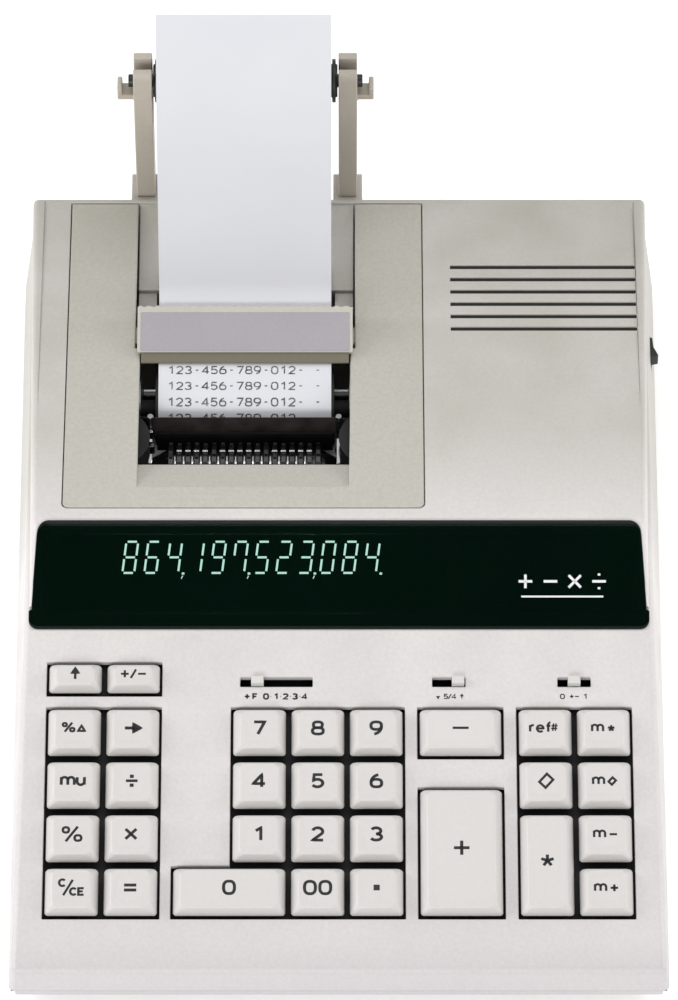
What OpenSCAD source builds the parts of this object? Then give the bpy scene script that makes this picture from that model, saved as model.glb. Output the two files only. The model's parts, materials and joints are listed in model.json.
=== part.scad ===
// Printing desk calculator: a wedge-shaped two-part case with a sloping keyboard, a tilted
// display window and a drum printer under a lift-off cover, fed from a paper roll held on
// two arms behind the case.
// X runs to the user's right, Y from the front edge to the back, Z up from the table.

/* [Case] */
// Width of the case at the front of its base
case_w = 213; // [211:0.5:216]
// Depth of the case from the front edge of the deck to the rear wall
case_d = 295; // [294:0.5:298]
// Height of the front edge of the deck above the table
front_z = 18; // [18:0.5:20]
// Slope of the keyboard deck in degrees
deck_slope = 10.3; // [10:0.1:10.6]
// Wall thickness of the mouldings
wall = 2.5; // [2.2:0.1:2.8]

/* [Keyboard] */
// Distance between neighbouring keys
key_pitch = 19.05; // [18.9:0.05:19.05]
// Width of a key at the deck
key_w = 17; // [16.4:0.1:17.2]
// Height of a key's top edge above the deck
key_h = 3.3; // [2.8:0.1:4]
// How far a key goes down
key_travel = 3; // [2:0.1:3]

/* [Display] */
// Tilt of the display window in degrees
lens_tilt = 36; // [35:0.5:37]
// Length of the tilted face that holds the window
lens_len = 35.6; // [35:0.1:36]

/* [Printer] */
// Width of the paper
paper_w = 58; // [57:0.5:58]
// Radius of the paper roll
roll_r = 20; // [12:1:21]
// Radius of the platen roller
platen_r = 12; // [11.8:0.05:12]

/* [Hidden] */
$fn = 48;
KEYS = [
    "key_feed", "key_sign",
    "key_delta", "key_arrow", "key_markup", "key_divide", "key_percent", "key_times",
    "key_clear", "key_equals",
    "key_7", "key_8", "key_9", "key_4", "key_5", "key_6", "key_1", "key_2", "key_3",
    "key_0", "key_00", "key_point", "key_minus", "key_plus",
    "key_ref", "key_memory_total", "key_diamond", "key_memory_diamond", "key_star",
    "key_memory_minus", "key_memory_plus"
];

// colours
beige = [0.78, 0.77, 0.72];
key_white = [0.90, 0.90, 0.87];
board_green = [0.10, 0.35, 0.20];
steel = [0.62, 0.63, 0.65];
black = [0.06, 0.06, 0.06];
paper_white = [0.93, 0.93, 0.95];

// heights of the base
foot_h = 3;
floor_z = foot_h + wall;
parting_z = 8.5;
lip_z = 12.5;
shoulder_z = 40.5;

// side walls: they lean in by flank_draft and spread by flank_spread from front to rear
flank_draft = 7;
flank_spread = 2.5;
flank_taper = atan(flank_spread / case_d);
front_lean = 1.2;
widest = case_w / 2 + flank_spread;
upper_half = 102.9;

// tilted display face and rear deck
lens_y = 121.2;
lens_z = front_z + lens_y * tan(deck_slope);
top_y = lens_y + lens_len * cos(lens_tilt);
top_z = lens_z + lens_len * sin(lens_tilt);
rear_drop = 2.5;
lens_wall = wall + 2;
cut = 60;

// keyboard stack, measured down from the deck surface
skirt = 0.8;
guide_top = -skirt - key_travel - 0.5;
guide_t = 1.8;
collar_h = 1.5;
plunger = 4.4;
plunger_play = 0.3;
plunger_end = guide_top - guide_t - collar_h - 0.8;
dome_gap = 0.2;
dome_h = 3.4;
mat_top = plunger_end - dome_gap - dome_h;
mat_t = 0.8;
board_t = 1.6;
well_gap = 0.95;
frame_half = 97.5;
frame_v = [13.5, 114.5];

// key columns and rows
side_block = 76.9;
number_col = -6.9;
sign_col = 39.7;
sign_w = 26.4;
row_1 = 84.9;
row_2 = row_1 - key_pitch;
row_3 = row_2 - key_pitch;
row_4 = row_3 - key_pitch;
small_row = 104.5;
small_len = 10.6;
plus_len = 45.15;
row_end = row_4 - key_w / 2;
left_a = -side_block - key_pitch / 2;
left_b = -side_block + key_pitch / 2;
right_a = side_block - key_pitch / 2;
right_b = side_block + key_pitch / 2;
num_a = number_col - key_pitch;
num_c = number_col + key_pitch;
double_len = key_w + key_pitch;
// each key: column centre, row centre, width, length
LAYOUT = [
    [left_a, small_row, key_w, small_len], [left_b, small_row, key_w, small_len],
    [left_a, row_1, key_w, key_w], [left_b, row_1, key_w, key_w],
    [left_a, row_2, key_w, key_w], [left_b, row_2, key_w, key_w],
    [left_a, row_3, key_w, key_w], [left_b, row_3, key_w, key_w],
    [left_a, row_4, key_w, key_w], [left_b, row_4, key_w, key_w],
    [num_a, row_1, key_w, key_w], [number_col, row_1, key_w, key_w], [num_c, row_1, key_w, key_w],
    [num_a, row_2, key_w, key_w], [number_col, row_2, key_w, key_w], [num_c, row_2, key_w, key_w],
    [num_a, row_3, key_w, key_w], [number_col, row_3, key_w, key_w], [num_c, row_3, key_w, key_w],
    [num_a - key_pitch / 2, row_4, double_len, key_w],
    [number_col, row_4, key_w, key_w], [num_c, row_4, key_w, key_w],
    [sign_col, row_1, sign_w, key_w], [sign_col, row_end + plus_len / 2, sign_w, plus_len],
    [right_a, row_1, key_w, key_w], [right_b, row_1, key_w, key_w],
    [right_a, row_2, key_w, key_w], [right_b, row_2, key_w, key_w],
    [right_a, row_end + double_len / 2, key_w, double_len],
    [right_b, row_3, key_w, key_w], [right_b, row_4, key_w, key_w]
];
twin_length = 22;
twin_spread = 0.27;

// slide switches: slot centre, slot length, knob position along the slot
slot_v = 103.5;
slot_w = 3.5;
knob_w = 4.1;
SELECTORS = [[-20.5, 23.8, -26.75], [36, 10.9, 39.05], [77.1, 10.9, 77.1]];

// printer cover and its opening
printer_x = -31.6;
cover_w = 119.4;
cover_y = [155.6, 292.2];
cover_gap = 0.35;
window_half = 35.3;
window_y = 164.3;
notch_half = 37;
notch_y = 226;
flange_z = 55.5;
ledge_y = [229, 236];
ledge_z = 56.2;
chute_y = 257;
chute_z = 50.5;
chute_slope = 5;
bar_half = 36.2;
bar_y = 222.3;
bar_z = 60;
bar_tilt = 15;
bar_len = 17.2;
bar_t = 1.6;

// platen, drum and ribbon
platen_y = 212;
platen_z = 42;
drum_y = 186.5;
drum_z = 39;
drum_r = 10.5;
wheel_count = 18;
wheel_pitch = 2.9;
plate_x = 35;
plate_t = 1.5;
shaft_play = 0.05;
platen_shaft_r = 3;
drum_shaft_r = 2;
post_x = 31.5;
post_y = 197.9;
post_r = 1;
spool_x = 43.9;
spool_y = 190;
spool_r = 12.4;
spool_z = [44, 54.6];
spool_pin_r = 2;
pack_left = 9.8;
pack_right = 6.8;
ribbon_t = 0.2;
ribbon_y = post_y + post_r + 0.2;

// paper roll, its arms and its spindle
spindle_y = 303;
spindle_z = 106;
spindle_r = 2.2;
seat_r = spindle_r + 0.1;
arm_x = 34.6;
arm_w = 6.3;
arm_top = 114.5;
arm_foot = 52;
paper_t = 0.2;
mid_y = (spindle_y + roll_r - front_lean) / 2;

// power rocker on the right side wall
rocker_y = 251.5;
rocker_z = 23;
rocker_x = 103.2;
rocker_rest = 14;

// fixings
FEET = [[-88, 26], [88, 26], [-88, 268], [88, 268]];
SCREWS = [[-60, 7.5], [60, 7.5], [-96, 286], [92, 286]];
BOARD_POSTS = [[18, 136], [92, 136], [18, 216], [92, 216]];
screw_r = 1.45;
boss_r = 3.2;

// ---- helpers ----
module placed() { translate([0, -mid_y, 0]) children(); }
module on_keyboard() { placed() translate([0, 0, front_z]) rotate([deck_slope, 0, 0]) children(); }
module on_lens() { placed() translate([0, lens_y, lens_z]) rotate([lens_tilt, 0, 0]) children(); }
module on_rear_deck() {
    placed() translate([0, top_y, top_z]) rotate([-rear_drop, 0, 0]) children();
}
// a side-view outline (Y, Z) swept from x0 to x1
module side_sweep(x0, x1) {
    translate([x0, 0, 0]) rotate([90, 0, 90]) linear_extrude(x1 - x0) children();
}
// a box from its lowest and highest corners
module block(low, high) { translate(low) cube(high - low); }
// a rod along X
module rod_x(r, x0, x1, y, z) { translate([x0, y, z]) rotate([0, 90, 0]) cylinder(r = r, h = x1 - x0); }

function rear_deck_z(y) = top_z - (y - top_y) * tan(rear_drop);
function meet(a1, s1, a2, s2) = (a2 - a1) / (s1 - s2);
function heading(a) = [cos(a), sin(a)];
function arc(c, r, a0, a1, n) = [for (i = [0:n]) c + r * heading(a0 + (a1 - a0) * i / n)];

// ---- case shells ----
// Side outline of the low part of the case, shrunk by inset
module low_outline(inset) {
    z0 = front_z - inset / cos(deck_slope);
    y_shoulder = (shoulder_z - inset - z0) / tan(deck_slope);
    base = inset > 0 ? parting_z - 5 : parting_z;
    polygon([
        [inset - front_lean, base], [inset, z0 + inset * tan(deck_slope)],
        [y_shoulder, shoulder_z - inset], [case_d - inset, shoulder_z - inset],
        [case_d - inset, base]
    ]);
}

// Side outline of the raised rear part, shrunk by inset, with lens_inset behind the display
module high_outline(inset, lens_inset) {
    foot = 20;
    a_lens = lens_z - lens_y * tan(lens_tilt) - lens_inset / cos(lens_tilt);
    a_top = top_z + top_y * tan(rear_drop) - inset / cos(rear_drop);
    y_top = meet(a_lens, tan(lens_tilt), a_top, -tan(rear_drop));
    polygon([
        [(foot - a_lens) / tan(lens_tilt), foot], [y_top, a_lens + y_top * tan(lens_tilt)],
        [case_d - inset, a_top - (case_d - inset) * tan(rear_drop)], [case_d - inset, foot]
    ]);
}

// Everything outside the leaning side walls, shrunk by inset
module flank_cuts(inset) {
    for (side = [0, 1]) {
        mirror([side, 0, 0]) translate([case_w / 2 - inset, 0, parting_z])
            rotate([0, -flank_draft, -flank_taper]) block([0, -cut, -cut], [cut, case_d + cut, cut]);
    }
}

module case_form(inset, lens_inset) {
    difference() {
        union() {
            side_sweep(-widest, widest) low_outline(inset);
            side_sweep(inset - upper_half, upper_half - inset) high_outline(inset, lens_inset);
        }
        flank_cuts(inset);
    }
}

// Key wells: one cut around each group of keys
module well(k_first, k_last) {
    a = LAYOUT[k_first];
    b = LAYOUT[k_last];
    low = [for (i = [0, 1]) min(a[i] - a[i + 2] / 2, b[i] - b[i + 2] / 2) - well_gap];
    high = [for (i = [0, 1]) max(a[i] + a[i + 2] / 2, b[i] + b[i + 2] / 2) + well_gap];
    block([low[0], low[1], -cut / 6], [high[0], high[1], 2]);
}

module lens_outline(grow) {
    corner = 4;
    top_half = 99.4;
    top_v = 34.4;
    bulge_half = 102.2 + grow;
    bulge_r = 3;
    foot_v = 0.8;
    for (side = [0, 1]) {
        mirror([side, 0]) {
            polygon([
                [0, foot_v - grow], [bulge_half - bulge_r, foot_v - grow],
                [bulge_half, foot_v + bulge_r], [bulge_half, foot_v + 6],
                [bulge_half - 1, foot_v + 6.5], [top_half + grow, top_v - corner],
                [top_half - corner, top_v + grow], [-1, top_v + grow], [-1, foot_v - grow]
            ]);
            translate([top_half - corner, top_v - corner]) circle(r = corner + grow);
            translate([bulge_half - bulge_r, foot_v + bulge_r - grow]) circle(r = bulge_r);
        }
    }
}

// Deep rebate and ledge that carry the printer cover
module cover_box(margin, low, high) {
    x0 = printer_x - cover_w / 2 - margin;
    y0 = cover_y[0] - top_y - margin;
    block([x0, y0, low], [x0 + cover_w + 2 * margin, cover_y[1] - top_y + margin, high]);
}

module arm_socket(x) {
    difference() {
        block([x - 5, case_d - 0.5, 34], [x + 5, case_d + 13, arm_foot]);
        block([x - 2.6, spindle_y - 3.1, 37], [x + 2.6, spindle_y + 3.1, arm_foot + 1]);
    }
}

module top_housing() {
    color(beige) {
        difference() {
            union() {
                difference() {
                    placed() case_form(0, 0);
                    placed() case_form(wall, lens_wall);
                }
                intersection() {
                    on_rear_deck() cover_box(2.5, -5, -1);
                    placed() case_form(0.5, 0.5);
                }
                placed() {
                    for (p = SCREWS) {
                        top = p[1] < lens_y ? front_z - 1 : rear_deck_z(p[1]) - 1;
                        translate([p[0], p[1], parting_z + 0.3]) cylinder(r = boss_r, h = top - parting_z);
                    }
                    for (side = [-1, 1]) {
                        arm_socket(printer_x + side * arm_x);
                    }
                }
            }
            on_rear_deck() {
                cover_box(-3, -cut / 6, 2);
                cover_box(cover_gap, -wall - 0.15, 2);
                for (i = [0:5]) {
                    block([37.7, 84 + i * 5.62, -6], [101.2, 85.8 + i * 5.62, 2]);
                }
            }
            on_keyboard() {
                well(0, 1);
                well(2, 9);
                well(10, 21);
                well(19, 21);
                well(22, 22);
                well(23, 23);
                well(24, 30);
                for (s = SELECTORS) {
                    translate([s[0], slot_v, 0])
                        block([-s[1] / 2, -slot_w / 2, -cut / 6], [s[1] / 2, slot_w / 2, 2]);
                }
            }
            on_lens() {
                translate([0, 0, -2.2]) linear_extrude(5) lens_outline(0.15);
                block([-98, 5, -cut / 6], [98, 31, 2]);
            }
            placed() {
                translate([rocker_x, rocker_y, rocker_z]) block([-2, -6, -3], [cut, 6, 3]);
                block([60.5, case_d - 5, 13], [81.5, case_d + 5, 25]);
                for (p = SCREWS) {
                    translate([p[0], p[1], 0]) cylinder(r = screw_r + shaft_play, h = 15);
                }
            }
        }
        placed() {
            chute();
        }
    }
}

// Floor of the paper chute behind the tear bar, joined to the rear wall
module chute() {
    rise = (case_d - wall - chute_y) * tan(chute_slope);
    side_sweep(printer_x - notch_half + 0.4, printer_x + notch_half - 0.4) {
        polygon([
            [chute_y, chute_z], [case_d - wall + 0.5, chute_z + rise],
            [case_d - wall + 0.5, chute_z + rise - 2], [chute_y + 2, chute_z - 2],
            [chute_y + 2, chute_z - 9], [chute_y, chute_z - 9]
        ]);
    }
}

module tray_form(inset, z0, z1) {
    front = 0.8 + inset;
    rear = case_d - 0.6 - inset;
    half_front = case_w / 2 - 1.9 - inset;
    half_rear = half_front + flank_spread;
    translate([0, 0, z0]) linear_extrude(z1 - z0) polygon([
        [-half_front, front], [half_front, front], [half_rear, rear], [-half_rear, rear]
    ]);
}

module bottom_housing() {
    color(beige) placed() difference() {
        union() {
            difference() {
                tray_form(0, foot_h, parting_z - 0.35);
                tray_form(4, floor_z, cut);
            }
            difference() {
                tray_form(2.4, floor_z, lip_z);
                tray_form(4, floor_z - 1, cut);
            }
            for (p = BOARD_POSTS) {
                translate([p[0], p[1], floor_z - 0.5]) cylinder(r = 3, h = 12 - floor_z + 0.5);
            }
            for (x = [-1, 1], y = [182, 232]) {
                translate([printer_x + x * 30, y, floor_z - 0.5]) cylinder(r = 3.5, h = 8 - floor_z + 0.5);
            }
            for (p = SCREWS) {
                translate([p[0], p[1], floor_z - 0.5]) cylinder(r = boss_r, h = 8.5 - floor_z + 0.5);
            }
        }
        for (p = SCREWS) {
            translate([p[0], p[1], 0]) cylinder(r = screw_r + shaft_play, h = cut);
            translate([p[0], p[1], 0]) cylinder(r = 3, h = floor_z);
        }
        for (p = FEET) {
            translate([p[0], p[1], 0]) cylinder(r = 2.5, h = cut);
        }
        block([-70, -2, parting_z], [70, 6, cut]);
        block([59.5, case_d - 8, 10], [82.5, case_d + 5, cut]);
        for (i = [0:5]) {
            block([50, 238 + i * 6, 0], [78, 240.4 + i * 6, 10]);
        }
    }
}

module printer_cover() {
    side_low = rear_deck_z(window_y) - wall;
    color(beige) {
        difference() {
            on_rear_deck() cover_box(0, -wall, 0);
            placed() {
                translate([printer_x, 0, 0]) {
                    block([-window_half, window_y, 0], [window_half, notch_y + 1, cut * 2]);
                    block([-notch_half, notch_y, 0], [notch_half, case_d, cut * 2]);
                }
            }
        }
        placed() {
            side_sweep(printer_x - window_half - 1.5, printer_x + window_half + 1.5) {
                polygon([
                    [window_y - 1, rear_deck_z(window_y) - 0.1], [window_y, rear_deck_z(window_y)],
                    [177.5, 55.8], [177.5, 54.4], [window_y, side_low]
                ]);
            }
            for (side = [-1, 1]) {
                x = printer_x + side * (window_half + 0.75);
                side_sweep(x - 0.75, x + 0.75) polygon([
                    [window_y + 4, flange_z + 0.8], [window_y + 4, rear_deck_z(window_y + 4) - 1],
                    [notch_y, rear_deck_z(notch_y) - 1], [notch_y, flange_z - 1], [205, flange_z]
                ]);
                ledge = printer_x + side * (notch_half - 1);
                block([ledge - 1.5, ledge_y[0], ledge_z - 2], [ledge + 1.5, ledge_y[1], ledge_z]);
            }
        }
    }
}

// Tear bar: a tilted plate with a toothed rear edge, a front lip and two feet on the cover
module tear_bar() {
    teeth = 48;
    tooth = 2 * bar_half / teeth;
    lip_half = window_half - 0.4;
    color([0.68, 0.66, 0.70]) placed() {
        translate([printer_x, bar_y, bar_z]) rotate([bar_tilt, 0, 0]) {
            translate([0, 0, -bar_t]) linear_extrude(bar_t) polygon(concat(
                [[-bar_half, 0], [bar_half, 0], [bar_half, bar_len - 0.6]],
                [for (i = [0:teeth - 1]) [bar_half - (i + 0.5) * tooth, bar_len - 0.6 * ((i + 1) % 2)]],
                [[-bar_half, bar_len - 0.6]]
            ));
        }
        side_sweep(printer_x - lip_half, printer_x + lip_half) polygon([
            [219.4, 57.25], [222.8, 58.1], [223.4, 58.9], [222.5, 59.3], [219.4, 57.9]
        ]);
        for (side = [-1, 1]) {
            x = printer_x + side * (bar_half - 0.5);
            side_sweep(x - 0.5, x + 0.5) polygon([
                [ledge_y[0], ledge_z], [ledge_y[0], bar_z + 0.8],
                [ledge_y[1], bar_z + 2.6], [ledge_y[1], ledge_z]
            ]);
        }
    }
}

module display_window() {
    color([0.03, 0.08, 0.06]) on_lens() translate([0, 0, -2]) linear_extrude(2.6) lens_outline(0);
}

module display_tube() {
    color([0.20, 0.26, 0.26]) on_lens() {
        block([-91.7, 7.5, -11], [30.1, 30.8, -4.8]);
        translate([30, 19, -8]) rotate([0, 90, 0]) cylinder(r = 2, h = 5);
    }
}

module circuit_boards() {
    color(board_green) {
        placed() {
            difference() {
                block([12, 130, 12], [98, 222, 12 + board_t]);
                for (p = BOARD_POSTS) {
                    translate([p[0], p[1], 0]) cylinder(r = 1.4, h = cut);
                }
            }
            block([30, 150, 12 + board_t], [82, 165, 12 + board_t + 4]);
            block([30, 176, 12 + board_t], [50, 184, 12 + board_t + 3.5]);
            for (x = [62, 76]) {
                translate([x, 200, 12 + board_t]) cylinder(r = 5, h = 16);
            }
        }
        on_keyboard() translate([0, 0, mat_top - mat_t])
            block([-frame_half, frame_v[0], -board_t], [frame_half, frame_v[1], 0]);
        on_lens() {
            block([-96, 6, -13], [40, 33, -13 + board_t]);
            for (x = [-88, 26]) {
                block([x - 2, 8, -13 + board_t], [x + 2, 30, -11]);
            }
        }
    }
}

// ---- keyboard ----
// Centres of a key's plungers: two on the long keys, one on the others
function plungers(k) = max(k[2], k[3]) <= twin_length ? [[0, 0]]
    : k[2] > k[3] ? [[-twin_spread * k[2], 0], [twin_spread * k[2], 0]]
    : [[0, -twin_spread * k[3]], [0, twin_spread * k[3]]];

module key_guide_frame() {
    guide_low = guide_top - guide_t;
    rim = 1.4;
    color(black) on_keyboard() difference() {
        union() {
            block([-frame_half, frame_v[0], guide_low], [frame_half, frame_v[1], guide_top]);
            for (k = LAYOUT, p = plungers(k)) {
                c = [k[0] + p[0], k[1] + p[1], guide_low - collar_h];
                block(c - [3.8, 3.8, 0], c + [3.8, 3.8, collar_h]);
            }
            for (x = [-56, 23.5, 55.7], y = [40, 97]) {
                translate([x, y, guide_top]) cylinder(r = 1.6, h = -wall - guide_top);
            }
            difference() {
                block([-frame_half, frame_v[0], mat_top - mat_t], [frame_half, frame_v[1], guide_low]);
                block([rim - frame_half, frame_v[0] + rim, -cut], [frame_half - rim, frame_v[1] - rim, 0]);
            }
        }
        for (k = LAYOUT, p = plungers(k)) {
            c = [k[0] + p[0], k[1] + p[1], -cut];
            half = plunger / 2 + plunger_play;
            block(c - [half, half, 0], c + [half, half, cut]);
        }
        for (s = SELECTORS) {
            block([s[0] - s[1] / 2 - 2.5, slot_v - 4.5, -cut], [s[0] + s[1] / 2 + 2.5, slot_v + 4.5, 0]);
        }
    }
}

module rubber_dome_mat() {
    rim = 1.8;
    low = mat_top - mat_t;
    color([0.75, 0.75, 0.72]) on_keyboard() {
        block([rim - frame_half, frame_v[0] + rim, low], [frame_half - rim, 97, mat_top]);
        block([rim - frame_half, 96, low], [-56, frame_v[1] - rim, mat_top]);
        for (k = LAYOUT, p = plungers(k)) {
            translate([k[0] + p[0], k[1] + p[1], mat_top - 0.1])
                cylinder(r1 = 4.4, r2 = 2.6, h = dome_h + 0.1);
        }
    }
}

// A key: a square cap with four sloping sides and a dished top, on one or two plungers
module keycap(index) {
    k = LAYOUT[index];
    side_in = 1.55;
    front_in = 1.85;
    rear_in = 1.55;
    cap_wall = 1.3;
    dish_r = 34;
    dish = 0.45;
    color(key_white) on_keyboard() translate([k[0], k[1], 0]) difference() {
        union() {
            difference() {
                block([-k[2] / 2, -k[3] / 2, -skirt], [k[2] / 2, k[3] / 2, key_h]);
                for (m = [0, 1]) {
                    mirror([m, 0, 0]) translate([k[2] / 2, 0, 0]) rotate([0, -atan(side_in / key_h), 0])
                        block([0, -cut, 0], [cut, cut, cut]);
                }
                translate([0, k[3] / 2, 0]) rotate([atan(rear_in / key_h), 0, 0])
                    block([-cut, 0, 0], [cut, cut, cut]);
                translate([0, -k[3] / 2, 0]) rotate([-atan(front_in / key_h), 0, 0])
                    block([-cut, -cut, 0], [cut, 0, cut]);
                translate([0, -cut, dish_r + key_h - dish]) rotate([-90, 0, 0])
                    cylinder(r = min(dish_r, k[2] * 2), h = 2 * cut, $fn = 96);
                block([cap_wall + 0.3 - k[2] / 2, cap_wall + 0.3 - k[3] / 2, -5],
                    [k[2] / 2 - cap_wall - 0.3, k[3] / 2 - cap_wall - 0.3, 0.9]);
            }
            for (p = plungers(k)) {
                half = plunger / 2;
                translate(p) block([-half, -half, plunger_end], [half, half, 1.2]);
            }
        }
    }
}

// ---- switches ----
module selector_knob(index) {
    s = SELECTORS[index];
    color(key_white) on_keyboard() translate([s[2], slot_v, 0]) {
        block([-knob_w / 2, -1.45, mat_top + 3.4], [knob_w / 2, 1.45, 1.9]);
    }
}

module switch_bodies() {
    color([0.12, 0.12, 0.13]) {
        on_keyboard() for (s = SELECTORS) {
            base = mat_top - mat_t;
            difference() {
                translate([s[0], slot_v, base]) block([-s[1] / 2 - 2, -4, 0], [s[1] / 2 + 2, 4, 5.6]);
                translate([s[0], slot_v, base]) block([-s[1] / 2 - 0.3, -1.8, 3.6], [s[1] / 2 + 0.3, 1.8, 6]);
            }
        }
        placed() difference() {
            block([92.5, rocker_y - 8.2, rocker_z - 5], [rocker_x, rocker_y + 8.2, rocker_z + 5]);
            block(
                [rocker_x - 4, rocker_y - 6.3, rocker_z - 2.9], [cut * 2, rocker_y + 6.3, rocker_z + 2.9]
            );
            translate([rocker_x - 1, rocker_y, 0]) cylinder(r = 1.2 + shaft_play, h = cut);
        }
    }
}

module power_rocker() {
    color(black) placed() translate([rocker_x - 1, rocker_y, rocker_z]) rotate([0, 0, rocker_rest]) {
        translate([0, 0, -2.6]) linear_extrude(5.2) polygon([
            [-1.6, -3.9], [6.4, -4.2], [5.7, 0], [6.4, 4.2], [-1.6, 3.9]
        ]);
        translate([0, 0, -4.4]) cylinder(r = 1.2, h = 8.8);
    }
}

// ---- power parts ----
module power_transformer() {
    color([0.30, 0.30, 0.32]) placed() {
        difference() {
            block([44, 240, floor_z], [82, 270, 37]);
            block([53, 239, floor_z + 8], [59, 271, 29]);
            block([67, 239, floor_z + 8], [73, 271, 29]);
        }
        block([53.3, 234.5, floor_z + 8.3], [58.7, 275.5, 28.7]);
        block([67.3, 234.5, floor_z + 8.3], [72.7, 275.5, 28.7]);
        block([53.3, 234.5, floor_z + 8.3], [72.7, 239.8, 28.7]);
        block([53.3, 270.2, floor_z + 8.3], [72.7, 275.5, 28.7]);
        block([38, 250, floor_z], [88, 260, floor_z + 1.5]);
    }
}

module mains_inlet() {
    color(black) placed() {
        difference() {
            block([61, case_d - 12, 13.5], [81, case_d + 1.2, 24.5]);
            block([63.5, case_d - 8, 15.3], [78.5, case_d + 5, 22.7]);
        }
        for (x = [-4.3, 4.3]) {
            translate([71 + x, case_d - 9, 19]) rotate([-90, 0, 0]) cylinder(r = 1.2, h = 8);
        }
    }
}

// ---- printer ----
module printer_frame() {
    color(steel) placed() {
        difference() {
            union() {
                for (side = [-1, 1]) {
                    x = printer_x + side * (plate_x + plate_t / 2);
                    side_sweep(x - plate_t / 2, x + plate_t / 2) polygon([
                        [175, 8], [175, 41], [178, 43], [203, 43], [206, 49], [209, 51], [217, 51],
                        [221, 47], [238, 28], [238, 8]
                    ]);
                    spool_table(side);
                }
                block([printer_x - plate_x, 175, 8], [printer_x + plate_x, 238, 9.5]);
                block([printer_x - plate_x, 175, 9], [printer_x + plate_x, 176.5, 27]);
                rod_x(2.5, printer_x - plate_x, printer_x + plate_x, 233, 24);
            }
            rod_x(platen_shaft_r + shaft_play, -2 * cut, 2 * cut, platen_y, platen_z);
            rod_x(drum_shaft_r + shaft_play, -2 * cut, 2 * cut, drum_y, drum_z);
        }
    }
}

// Outrigger with the spool's pin and the ribbon's guide post
module spool_table(side) {
    inner = plate_x + plate_t / 2;
    x = printer_x + side * spool_x;
    far = printer_x + side * (spool_x + 8);
    near = printer_x + side * inner;
    block([min(near, far), 182, 41.6], [max(near, far), 198, 43.2]);
    translate([x, spool_y, 42]) cylinder(r = 4, h = 1.8);
    translate([x, spool_y, 42]) cylinder(r = spool_pin_r, h = 13.5);
    inside = printer_x + side * (post_x - 1.2);
    block([min(near, inside), 196, 38], [max(near, inside), 199.4, 41.8]);
    translate([printer_x + side * post_x, post_y, 40]) cylinder(r = post_r, h = 16);
}

module platen_roller() {
    color([0.16, 0.16, 0.17]) placed() {
        rod_x(platen_r, printer_x - 30, printer_x + 30, platen_y, platen_z);
        rod_x(platen_shaft_r, printer_x - 42, printer_x + 38, platen_y, platen_z);
        rod_x(7, printer_x - 41, printer_x - 38, platen_y, platen_z);
    }
}

module type_drum() {
    half = wheel_count * wheel_pitch / 2;
    core = 8;
    color([0.35, 0.35, 0.36]) placed() {
        rod_x(drum_shaft_r, printer_x - 37.3, printer_x + 37.3, drum_y, drum_z);
        translate([printer_x, drum_y, drum_z]) rotate([0, 90, 0]) rotate_extrude() polygon(concat(
            [[0, -half], [core, -half]],
            [for (i = [0:wheel_count - 1], p = [[core, 0.5], [drum_r, 0.5], [drum_r, 2.4], [core, 2.4]])
                [p[0], p[1] + i * wheel_pitch - half]],
            [[core, half], [0, half]]
        ));
    }
}

module ribbon_spool(side, pack_r) {
    flange_t = 0.6;
    color(black) placed() translate([printer_x + side * spool_x, spool_y, 0]) difference() {
        union() {
            translate([0, 0, spool_z[0]]) cylinder(r = spool_r, h = flange_t);
            translate([0, 0, spool_z[0] + 0.1]) cylinder(r = pack_r, h = spool_z[1] - spool_z[0] - 0.2);
            translate([0, 0, spool_z[1] - flange_t]) cylinder(r = spool_r, h = flange_t);
        }
        cylinder(r = spool_pin_r + shaft_play, h = 2 * cut);
    }
}

// Where the ribbon leaves a spool on its way to the guide post, for a spool on side 1 or -1
function ribbon_leaves(side, pack_r) =
    let (
        r = pack_r + 0.4,
        to_post = [post_x - spool_x, ribbon_y - spool_y],
        a = atan2(to_post[1], to_post[0]) - acos(r / norm(to_post))
    ) [side * (spool_x + r * cos(a)), spool_y + r * sin(a)];

module ink_ribbon() {
    line = [
        ribbon_leaves(-1, pack_left), [-post_x, ribbon_y], [post_x, ribbon_y], ribbon_leaves(1, pack_right)
    ];
    low = spool_z[0] + 0.9;
    color([0.05, 0.05, 0.06]) placed() translate([printer_x, 0, low])
        linear_extrude(spool_z[1] - 0.9 - low) band(line, ribbon_t);
}

// A flat outline of the given thickness along an open line of points
module band(line, t) {
    n = len(line);
    side = [for (i = [0:n - 1])
        let (d = line[min(i + 1, n - 1)] - line[max(i - 1, 0)]) t / 2 * [-d[1], d[0]] / norm(d)];
    polygon(concat([for (i = [0:n - 1]) line[i] + side[i]], [for (i = [n - 1:-1:0]) line[i] - side[i]]));
}

module printer_motor() {
    color(steel) placed() {
        rod_x(11, -95, -70.5, 228, 21);
        rod_x(3.5, -70.6, -68.6, 228, 21);
        block([-92, 219, floor_z], [-74, 237, 12]);
    }
}

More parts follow.
